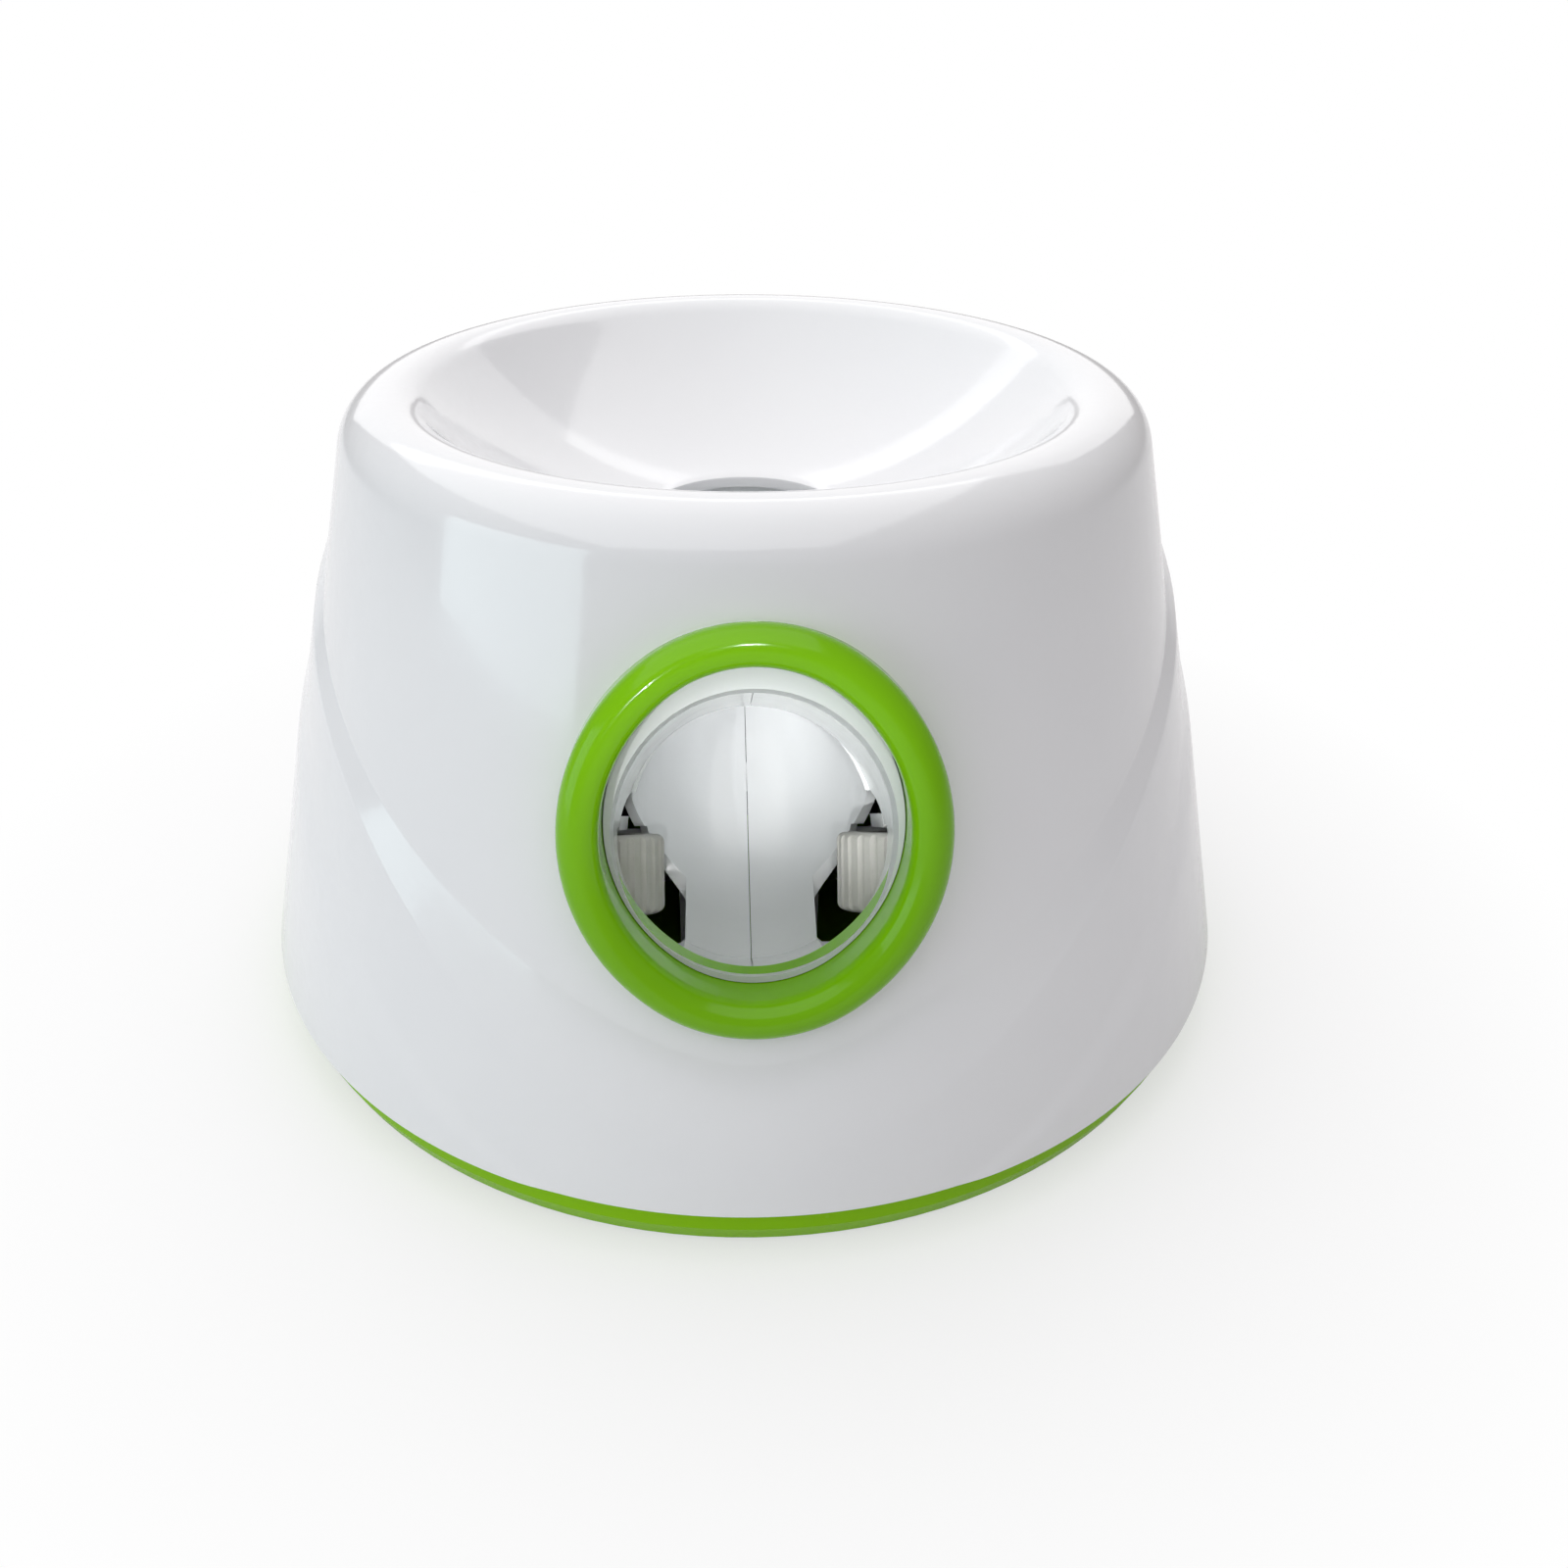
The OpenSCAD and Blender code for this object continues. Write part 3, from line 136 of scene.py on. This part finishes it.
def soft_rubber(name, colour, shade, roughness):
    """Rubber: even, dull and very slightly grainy, with paler dust where it is handled."""
    material, tree, shader, place = plain_principled(name)
    patches = noise(tree, place, scale=70, detail=5, rough=0.65)
    dust = spread(tree, patches, low=0.42, high=0.75, to_low=0, to_high=1)
    tree.links.new(two_tone(tree, dust, colour, shade), shader.inputs["Base Color"])
    rubbed = noise(tree, place, scale=160, detail=3)
    dull = spread(tree, rubbed, low=0.3, high=0.7,
                  to_low=roughness - 0.08, to_high=roughness + 0.06)
    tree.links.new(dull, shader.inputs["Roughness"])
    raise_surface(tree, shader, noise(tree, place, scale=1500, detail=2),
                  strength=0.35, distance=0.0003)
    return material


def dress(material, *names):
    for name in names:
        slots = nodes[name].data.materials
        slots.clear()
        slots.append(material)


# The tray and door are the ring's lime plastic. Their colour is a lighter copy of it, painted light
# against the shade under the skirt, and they have less sheen.
brightened_lime_base = moulded_plastic("brightened_lime_base", (0.24, 0.53, 0.001), (0.22, 0.49, 0.001),
                            roughness=0.25, sheen=0.08)
dress(brightened_lime_base, "base_plate", "battery_door")
black_rubber = soft_rubber("black_rubber", (0.018, 0.018, 0.02), (0.06, 0.06, 0.06), roughness=0.72)
dress(black_rubber, "rubber_feet")


# ---- Batteries ----
# A black moulded block holds two rows of cells over the door; sprung leaf contacts of
# nickel-plated steel press on both ends of each row. The cells are wrapped in a plain sleeve.
def plated_metal(name, colour, shade, roughness, grain=400):
    """Plated or drawn steel: brushed along Z, with a duller bloom here and there."""
    material, tree, shader, place = plain_principled(name)
    stretch = add_node(tree, "ShaderNodeMapping")
    stretch.inputs["Scale"].default_value = (1, 1, 0.08)
    tree.links.new(place, stretch.inputs["Vector"])
    brushed = noise(tree, stretch.outputs["Vector"], scale=grain, detail=3, rough=0.6)
    cloudy = noise(tree, place, scale=55, detail=4)
    bloom = spread(tree, cloudy, low=0.35, high=0.75, to_low=0, to_high=1)
    tree.links.new(two_tone(tree, bloom, colour, shade), shader.inputs["Base Color"])
    dull = spread(tree, brushed, low=0.3, high=0.7,
                  to_low=roughness - 0.07, to_high=roughness + 0.09)
    tree.links.new(dull, shader.inputs["Roughness"])
    shader.inputs["Metallic"].default_value = 1.0
    raise_surface(tree, shader, brushed, strength=0.15, distance=0.0002)
    return material


black_plastic = moulded_plastic("black_plastic", (0.022, 0.022, 0.024), (0.032, 0.032, 0.034),
                                roughness=0.5, polish=0.06, peel=0.25)
dress(black_plastic, "battery_holder")
cell_sleeve = moulded_plastic("cell_sleeve", (0.55, 0.38, 0.12), (0.48, 0.33, 0.10),
                              roughness=0.3, polish=0.04, peel=0.1)
dress(cell_sleeve, "battery_cells")
nickel_plate = plated_metal("nickel_plate", (0.66, 0.65, 0.60), (0.55, 0.54, 0.50), roughness=0.28)
dress(nickel_plate, "battery_contacts")


# ---- Circuit boards ----
# The main board stands on four posts on the base floor and the small one behind the rear
# panel. Both are glass-fibre board under green solder resist, with parts cased in black.
def solder_resist(name):
    """Green lacquer over a woven board, with faint darker lanes where the copper is etched away."""
    material, tree, shader, place = plain_principled(name)
    lacquer, bare_lane = (0.012, 0.115, 0.045), (0.008, 0.07, 0.03)
    weave = noise(tree, place, scale=900, detail=2)
    lanes = add_node(tree, "ShaderNodeTexVoronoi", feature="DISTANCE_TO_EDGE")
    lanes.inputs["Scale"].default_value = 170
    tree.links.new(place, lanes.inputs["Vector"])
    etched = spread(tree, lanes.outputs["Distance"], low=0.02, high=0.09, to_low=1, to_high=0)
    tree.links.new(two_tone(tree, etched, lacquer, bare_lane), shader.inputs["Base Color"])
    dull = spread(tree, weave, low=0.3, high=0.7, to_low=0.25, to_high=0.42)
    tree.links.new(dull, shader.inputs["Roughness"])
    raise_surface(tree, shader, weave, strength=0.2, distance=0.0002)
    return material


board_lacquer = solder_resist("board_lacquer")
dress(board_lacquer, "main_board", "control_board")
dress(black_plastic, "board_parts", "beeper")


# ---- Chute halves and mouth liner ----
# Two mirrored mouldings in pale grey-white plastic meet on the middle plane and make the drop
# tube, the feed ramp and the launch barrel; screws through bosses outside hold them together.
# The liner between barrel and ring is a sleeve of a greyer, duller plastic.
pale_plastic = moulded_plastic("pale_plastic", (0.80, 0.82, 0.83), (0.76, 0.78, 0.79),
                               roughness=0.17, polish=0.04, peel=0.16, coat=0.3)
dress(pale_plastic, "chute_left", "chute_right")
liner_plastic = moulded_plastic("liner_plastic", (0.55, 0.57, 0.58), (0.51, 0.53, 0.54),
                                roughness=0.34, polish=0.04, peel=0.14, sheen=0.3)
dress(liner_plastic, "mouth_liner")


# ---- Screws ----
# Zinc-plated screws hold the chute halves, the motor plates, the gate's bracket, the shell and
# the battery door. They are turned from one dull plated steel.
zinc_screw = plated_metal("zinc_screw", (0.55, 0.55, 0.56), (0.42, 0.42, 0.43), roughness=0.34)
dress(zinc_screw, "chute_screws", "motor_screws", "gate_screws", "shell_screws", "door_screws")


# ---- Throat gasket ----
# A pale rubber ring is pressed between the bowl's hole and the top of the drop tube, and covers
# the edge between them.
pale_rubber = soft_rubber("pale_rubber", (0.66, 0.68, 0.69), (0.60, 0.62, 0.63), roughness=0.45)
dress(pale_rubber, "throat_gasket")


# ---- Launch wheels, motors and their brackets ----
# Each wheel is a spoked white hub with a ribbed grey rubber tyre, pressed on the shaft of a
# small can motor. The motor hangs on a thick plate screwed to two bosses of the chute.
tyre_rubber = soft_rubber("tyre_rubber", (0.50, 0.49, 0.46), (0.60, 0.59, 0.57), roughness=0.62)
dress(tyre_rubber, "wheel_tyre_left", "wheel_tyre_right")
hub_plastic = moulded_plastic("hub_plastic", (0.70, 0.71, 0.71), (0.64, 0.65, 0.65), roughness=0.3)
dress(hub_plastic, "wheel_hub_left", "wheel_hub_right", "motor_bracket_left", "motor_bracket_right",
      "gate_bracket", "gate_pinion")
motor_can = plated_metal("motor_can", (0.60, 0.60, 0.61), (0.50, 0.50, 0.51), roughness=0.3)
dress(motor_can, "motor_left", "motor_right", "gate_motor")
ground_steel = plated_metal("ground_steel", (0.62, 0.62, 0.63), (0.56, 0.56, 0.57),
                            roughness=0.2, grain=900)
dress(ground_steel, "motor_shaft_left", "motor_shaft_right", "gate_shaft")


# ---- Gate and tube sensors ----
# A flat white shutter swings through a slot in the drop tube and closes it. A pinion on a gear
# motor turns it by the toothed sector at its hub. Two black sensors look across the tube.
gloss_white = moulded_plastic("gloss_white", (0.80, 0.81, 0.83), (0.765, 0.775, 0.80),
                              roughness=0.13, polish=0.03, peel=0.10, coat=0.5)
dress(gloss_white, "gate_shutter")
dress(black_plastic, "ball_sensors")


# ---- Rear panel ----
# A white panel in the back of the shell carries a black rocker and power inlet, a lime green
# button for the distance, and three lenses of tinted clear plastic that show the one chosen.
dress(gloss_white, "control_panel")
dress(black_plastic, "switch_body", "power_rocker", "power_jack")
lime_plastic = moulded_plastic("lime_plastic", (0.178, 0.450, 0.001), (0.158, 0.405, 0.001),
                               roughness=0.13, coat=0.08, sheen=0.22)
dress(lime_plastic, "distance_button")
lens_plastic = moulded_plastic("lens_plastic", (0.42, 0.70, 0.22), (0.36, 0.62, 0.18),
                               roughness=0.1, polish=0.03, peel=0.05)
dress(lens_plastic, "indicator_lenses")


# ---- Body shell ----
# Bowl, rolled rim and sloping wall are one glossy white moulding. The front apron is set back
# from the skirt, and a sloping band, which curves up to both sides like a smile, joins them.
lean = math.radians(14.3)
wall_foot = 0.0145
apron_foot_radius = 0.1468
apron_slope = math.tan(lean)
skirt_foot_radius = 0.14955
skirt_slope = 0.2618
side_foot_radius = 0.14998
side_slope = 0.252
wall_thickness = 0.003
rim_radius = 0.014
rim_height = 0.1615
rim_top = rim_height + rim_radius
wall_head = rim_height + rim_radius * math.sin(lean)
apron_head_radius = apron_foot_radius - apron_slope * (wall_head - wall_foot)
rim_middle = apron_head_radius - rim_radius * math.cos(lean)
hole_radius = 0.027
hole_height = 0.137
# The bowl is part of a sphere that passes through the hole's edge and touches the rim's roll. How
# far its middle rises over the hole is a root of square_term * rise^2 + plain_term * drop * rise
# + last_term / 4 = 0.
rim_flat = 0.001
roll_radius = 0.010
roll_middle = rim_middle - rim_flat
roll_height = rim_top - roll_radius
drop = hole_height - roll_height
plain_term = roll_middle ** 2 - hole_radius ** 2 - roll_radius ** 2 + drop ** 2
square_term = drop ** 2 - roll_radius ** 2
last_term = plain_term ** 2 - 4 * (roll_radius * hole_radius) ** 2
root = math.sqrt((plain_term * drop) ** 2 - square_term * last_term)
bowl_rise = (-plain_term * drop - root) / (2 * square_term)
bowl_middle = hole_height + bowl_rise
bowl_radius = math.hypot(hole_radius, bowl_rise)
bowl_lean = math.asin(roll_middle / (bowl_radius + roll_radius))


def apron_radius(height):
    return apron_foot_radius - apron_slope * (height - wall_foot)


def eased(share, softness):
    """A share from 0 to 1, with its start and end rounded off by softness."""
    share = min(max(share, 0.0), 1.0)
    return share + softness * (share * share * (3 - 2 * share) - share)


# The band's two edges: their height straight ahead, and how they climb towards the sides.
band_top_front = 0.0536
band_top_climb = 0.0965
band_top_bend = 0.09
band_foot_front = 0.0301
band_foot_climb, band_foot_sag, band_foot_ripple = 0.1397, 0.0311, 0.0256
# In front, within this turn, the band's foot runs softly into the skirt.
soft_foot = 0.8
soft_foot_turn = 0.7
# The side skin's edge is an arc seen from the front, crisp at first and wider to the outside.
side_edge_start = 0.05
side_edge_middle = 0.150
side_edge_radius = 0.145
side_edge_half = 0.0022
side_edge_widening = 0.0085
side_edge_softness = 0.8
widening_start, widening_run = 0.06, 0.065


def band_top(turn):
    quarter_turns = turn / (math.pi / 2)
    rise = band_top_climb * (math.hypot(quarter_turns, band_top_bend) - band_top_bend)
    return band_top_front + rise


def band_foot(turn):
    rise = band_foot_climb * (1 - math.cos(turn))
    rise -= band_foot_sag * (1 - math.cos(2 * turn))
    rise += band_foot_ripple * (1 - math.cos(3 * turn))
    return band_foot_front + rise


def turn_of(x, y):
    """The turn away from straight ahead, or from straight back on the rear half."""
    return math.atan2(abs(x), abs(y))


def wall_step(x, y, height):
    """How far the skirt and its bands stand out from the apron at this place on the wall."""
    turn = turn_of(x, y)
    run = height - wall_foot
    skirt_step = (skirt_foot_radius - apron_foot_radius) - (skirt_slope - apron_slope) * run
    down = min(max((band_top(turn) - height) / (band_top(turn) - band_foot(turn)), 0), 1)
    flow = soft_foot * (1 - eased(turn / soft_foot_turn, 1))
    step = skirt_step * (down + flow * down * (1 - down))
    across = math.hypot(x, y) * math.sin(turn)
    if across > side_edge_start:
        side_edge = side_edge_middle - math.sqrt(max(side_edge_radius ** 2 - across ** 2, 1e-6))
        widened = eased((across - widening_start) / widening_run, 1)
        half = side_edge_half + side_edge_widening * widened
        side_step = (side_foot_radius - skirt_foot_radius) + (skirt_slope - side_slope) * run
        step += side_step * eased((side_edge + half - height) / (2 * half), side_edge_softness)
    return step


def arc(middle, radius, start, end, count):
    """Points of an arc in a profile, from one angle to another in degrees."""
    points = []
    for i in range(count + 1):
        angle = math.radians(start + (end - start) * i / count)
        points.append((middle[0] + radius * math.cos(angle), middle[1] + radius * math.sin(angle)))
    return points


def spin_profile(name, points, steps):
    """Lays a closed profile in the XZ plane and spins it once round the Z axis."""
    bpy.ops.object.select_all(action="DESELECT")
    bpy.ops.mesh.primitive_circle_add(vertices=len(points), radius=1)
    piece = bpy.context.object
    piece.name = name
    for vertex, (radius, height) in zip(piece.data.vertices, points):
        vertex.co = (radius, 0, height)
    bpy.ops.object.mode_set(mode="EDIT")
    bpy.ops.mesh.select_all(action="SELECT")
    bpy.ops.mesh.spin(steps=steps, angle=2 * math.pi, center=(0, 0, 0), axis=(0, 0, 1),
                      use_auto_merge=True)
    bpy.ops.mesh.select_all(action="SELECT")
    bpy.ops.mesh.remove_doubles(threshold=0.000005)
    bpy.ops.mesh.normals_make_consistent(inside=False)
    bpy.ops.object.mode_set(mode="OBJECT")
    return piece


def pick(piece):
    """Leaves one piece selected and active."""
    bpy.ops.object.select_all(action="DESELECT")
    bpy.context.view_layer.objects.active = piece
    piece.select_set(True)


def carve(piece, cutter):
    """Cuts the second piece's shape out of the first, and removes the cutter."""
    pick(piece)
    cut = piece.modifiers.new("cut", "BOOLEAN")
    cut.operation = "DIFFERENCE"
    cut.solver = "EXACT"
    cut.object = cutter
    bpy.ops.object.modifier_apply(modifier="cut")
    bpy.data.objects.remove(cutter)


def settle(piece):
    """Leaves a piece at the origin with its place in its mesh."""
    pick(piece)
    bpy.ops.object.transform_apply(location=True, rotation=True, scale=True)


def bowl_underside(radius):
    """Height of the bowl's lower skin."""
    return bowl_middle - math.sqrt((bowl_radius + wall_thickness) ** 2 - radius ** 2)


inset = wall_thickness / math.cos(lean)
foot_corner = 0.0006
hole_edge = 0.0008
wall_start = wall_foot + foot_corner
inner_head = wall_head - 0.0007
# How many rows of points each stretch of the profile has.
skirt_rows, band_rows, apron_rows = 34, 24, 42
wall_rows = skirt_rows + band_rows + apron_rows
rim_rows, roll_rows, bowl_rows = 22, 12, 30
under_bowl_rows, under_roll_rows, under_rim_rows, inner_wall_rows = 11, 5, 8, 16
profile = []
for i in range(wall_rows + 1):
    height = wall_start + (wall_head - wall_start) * i / wall_rows
    profile.append((apron_radius(height), height))
# Up the outside of the wall, over the rim and its roll, and down the bowl to the hole.
rim_start, roll_end = math.degrees(lean), 90 + math.degrees(bowl_lean)
profile += arc((rim_middle, rim_height), rim_radius, rim_start, 90, rim_rows)[1:]
profile += arc((roll_middle, roll_height), roll_radius, 90, roll_end, roll_rows)
touch_radius = bowl_radius * math.sin(bowl_lean)
for i in range(1, bowl_rows + 1):
    radius = touch_radius + (hole_radius + hole_edge - touch_radius) * i / bowl_rows
    profile.append((radius, bowl_middle - math.sqrt(bowl_radius ** 2 - radius ** 2)))
profile.append((hole_radius + hole_edge / 4, hole_height - hole_edge / 8))
profile.append((hole_radius, hole_height - hole_edge * 7 / 8))
# Back along the inside, a wall's thickness away, to the foot.
profile.append((hole_radius, bowl_underside(hole_radius)))
touch_under = (bowl_radius + wall_thickness) * math.sin(bowl_lean)
for i in range(1, under_bowl_rows + 1):
    radius = hole_radius + (touch_under - hole_radius) * i / under_bowl_rows
    profile.append((radius, bowl_underside(radius)))
under_roll, under_rim = roll_radius - wall_thickness, rim_radius - wall_thickness
profile += arc((roll_middle, roll_height), under_roll, roll_end, 90, under_roll_rows)[1:]
profile += arc((rim_middle, rim_height), under_rim, 90, rim_start, under_rim_rows)
for i in range(1, inner_wall_rows + 1):
    height = inner_head + (wall_foot - inner_head) * i / inner_wall_rows
    profile.append((apron_radius(height) - inset, height))
profile.append((apron_radius(wall_foot) - foot_corner, wall_foot))
shell = spin_profile("body_shell", profile, steps=360)

# The wall's rows are bent to run along the band's two edges, and then pushed out to its form.
skin_depth = 0.0004
head_margin = 0.0002
for vertex in shell.data.vertices:
    x, y, height = vertex.co
    radius = math.hypot(x, y)
    if radius < apron_radius(height) - inset - skin_depth or height > wall_head - head_margin:
        continue
    depth = apron_radius(height) - radius
    if depth < skin_depth:
        row = (height - wall_start) / (wall_head - wall_start) * wall_rows
        top, foot = band_top(turn_of(x, y)), band_foot(turn_of(x, y))
        if row < skirt_rows:
            height = wall_start + (foot - wall_start) * row / skirt_rows
        elif row < skirt_rows + band_rows:
            height = foot + (top - foot) * (row - skirt_rows) / band_rows
        else:
            height = top + (wall_head - top) * (row - skirt_rows - band_rows) / apron_rows
    grown = apron_radius(height) - depth + wall_step(x, y, height)
    vertex.co = (x * grown / radius, y * grown / radius, height)

# The mouth is an oval of four arcs. The centres of the two flat side arcs lie beyond its middle,
# and those of the two tight end arcs lie on the way to each end. The arcs meet on one slope.
mouth_height = 0.1078
cutter_depth = 0.05
side_arc_radius, side_arc_beyond = 0.04435, 0.00705
end_arc_radius, end_arc_offset = 0.0326, 0.0094
meeting_slope = 1.815
mouth_turn = (Matrix.Translation((0, -apron_radius(mouth_height), mouth_height))
              @ Matrix.Rotation(math.pi / 2 - lean, 4, "X"))
bpy.ops.object.select_all(action="DESELECT")
bpy.ops.mesh.primitive_cylinder_add(vertices=160, radius=1, depth=cutter_depth)
opening = bpy.context.object
for vertex in opening.data.vertices:
    across, along = abs(vertex.co.x), abs(vertex.co.y)
    if along > meeting_slope * across:
        back = end_arc_offset * along
        reach = back + math.sqrt(back ** 2 + end_arc_radius ** 2 - end_arc_offset ** 2)
    else:
        back = side_arc_beyond * across
        reach = math.sqrt(back ** 2 + side_arc_radius ** 2 - side_arc_beyond ** 2) - back
    vertex.co.x *= reach
    vertex.co.y *= reach
opening.matrix_world = mouth_turn
settle(opening)
carve(shell, opening)

# The rear panel drops into a window with rounded corners.
panel_height = 0.082
window_width, window_length = 0.0886, 0.0346
window_corner = 0.0062
window_depth = 0.06
panel_turn = (Matrix.Translation((0, apron_radius(panel_height), panel_height))
              @ Matrix.Rotation(lean - math.pi / 2, 4, "X"))
bpy.ops.object.select_all(action="DESELECT")
bpy.ops.mesh.primitive_cube_add(size=1)
window = bpy.context.object
window.matrix_world = panel_turn @ Matrix.Diagonal((window_width, window_length, window_depth, 1))
settle(window)
rounding = window.modifiers.new("rounding", "BEVEL")
rounding.width = window_corner
rounding.segments = 6
bpy.ops.object.modifier_apply(modifier="rounding")
carve(shell, window)
pick(shell)
bpy.ops.object.shade_smooth_by_angle(angle=math.radians(35))
shell.data.materials.append(gloss_white)
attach(shell, "launcher")
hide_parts("outer_shell")


# ---- Launch ring ----
# A thick rounded ring of the button's polished lime green plastic frames the mouth. It seats on
# the sloping wall, and its spigot clips through the opening.
dress(lime_plastic, "launch_ring")


# ---- Floor ----
# The launcher stands on a plain sweep of white paper, which isn't part of the object. Away from
# it the paper looks pure white to the camera, and close to it the paper keeps the shadow.
def combined(tree, operation, first, second):
    """A sum, product or larger value of two shares."""
    made = add_node(tree, "ShaderNodeMath", operation=operation)
    tree.links.new(first, made.inputs[0])
    if isinstance(second, float):
        made.inputs[1].default_value = second
    else:
        tree.links.new(second, made.inputs[1])
    return made.outputs[0]


def white_paper(name, shadow_reach, clear_reach, glow_near, mirrored_glow):
    material = bpy.data.materials.new(name)
    material.use_nodes = True
    tree = material.node_tree
    tree.nodes.clear()
    out = add_node(tree, "ShaderNodeOutputMaterial")
    paper = add_node(tree, "ShaderNodeBsdfPrincipled")
    paper.inputs["Base Color"].default_value = (0.80, 0.80, 0.81, 1)
    paper.inputs["Roughness"].default_value = 0.7
    glow = add_node(tree, "ShaderNodeEmission")
    glow.inputs["Color"].default_value = (1, 1, 1, 1)
    glow.inputs["Strength"].default_value = 1.0
    place = add_node(tree, "ShaderNodeTexCoord")
    away = add_node(tree, "ShaderNodeVectorMath", operation="LENGTH")
    tree.links.new(place.outputs["Object"], away.inputs[0])
    whiter = spread(tree, away.outputs["Value"], shadow_reach, clear_reach, glow_near, 1.0)
    rays = add_node(tree, "ShaderNodeLightPath")
    seen = combined(tree, "MULTIPLY", rays.outputs["Is Camera Ray"], whiter)
    mirrored = combined(tree, "MAXIMUM", rays.outputs["Is Glossy Ray"],
                        rays.outputs["Is Transmission Ray"])
    share = combined(tree, "ADD", seen, combined(tree, "MULTIPLY", mirrored, mirrored_glow))
    blend = add_node(tree, "ShaderNodeMixShader")
    tree.links.new(share, blend.inputs[0])
    tree.links.new(paper.outputs[0], blend.inputs[1])
    tree.links.new(glow.outputs[0], blend.inputs[2])
    tree.links.new(blend.outputs[0], out.inputs["Surface"])
    return material


bpy.ops.object.select_all(action="DESELECT")
bpy.ops.mesh.primitive_plane_add(size=24)
floor = bpy.context.object
floor.name = "floor"
floor.data.materials.append(white_paper("white_sweep", shadow_reach=0.15, clear_reach=0.28,
                                        glow_near=0.60, mirrored_glow=0.12))


# ---- Light ----
# The room is dim and a little warm, but white to the camera. A broad lamp hangs overhead, a cool
# one stands low on the left and one behind, and two narrow beams reach into the launch mouth.
def background(tree, colour, strength):
    made = add_node(tree, "ShaderNodeBackground")
    made.inputs["Color"].default_value = (*colour, 1)
    made.inputs["Strength"].default_value = strength
    return made.outputs[0]


world = bpy.data.worlds.new("room")
bpy.context.scene.world = world
world.use_nodes = True
world_tree = world.node_tree
world_tree.nodes.clear()
world_out = add_node(world_tree, "ShaderNodeOutputWorld")
world_rays = add_node(world_tree, "ShaderNodeLightPath")
world_blend = add_node(world_tree, "ShaderNodeMixShader")
world_tree.links.new(world_rays.outputs["Is Camera Ray"], world_blend.inputs[0])
world_tree.links.new(background(world_tree, (1.0, 0.95, 0.94), 0.35), world_blend.inputs[1])
world_tree.links.new(background(world_tree, (1, 1, 1), 1.0), world_blend.inputs[2])
world_tree.links.new(world_blend.outputs[0], world_out.inputs["Surface"])


def hang_lamp(name, data, place, target, power):
    """Puts a lamp at its place and aims it at its target."""
    data.energy = power
    lamp = bpy.data.objects.new(name, data)
    bpy.context.scene.collection.objects.link(lamp)
    lamp.location = place
    lamp.rotation_euler = (Vector(target) - Vector(place)).to_track_quat("-Z", "Y").to_euler()


def soft_lamp(name, place, target, width, length, power, colour=(1, 1, 1)):
    """A broad lamp, as a white cloth with a bulb behind it."""
    data = bpy.data.lights.new(name, "AREA")
    data.shape = "RECTANGLE"
    data.size = width
    data.size_y = length
    data.color = colour
    hang_lamp(name, data, place, target, power)


def narrow_beam(name, place, target, beam_angle, power):
    """A small lamp whose beam stays inside the launch mouth."""
    data = bpy.data.lights.new(name, "SPOT")
    data.spot_size = math.radians(beam_angle)
    data.spot_blend = 0.35
    data.shadow_soft_size = 0.014
    hang_lamp(name, data, place, target, power)


pale_cyan = (0.78, 0.97, 1.0)
soft_lamp("overhead", (-0.25, 0.0, 1.2), (-0.1, 0, 0.1), width=3.0, length=1.8, power=20.0)
soft_lamp("side_left", (-1.5, -0.8, 0.35), (0, 0, 0.1), width=1.3, length=0.7, power=5.2,
          colour=pale_cyan)
soft_lamp("behind", (0.0, 1.6, 0.9), (0, 0, 0.1), width=2.6, length=1.2, power=8.0)
narrow_beam("mouth_low", (-0.28, -1.12, 0.36), (0.002, -0.11, 0.110), beam_angle=3.4, power=38.0)
narrow_beam("mouth_high", (0.0, -1.11, 0.66), (0.0, -0.11, 0.116), beam_angle=3.0, power=34.0)
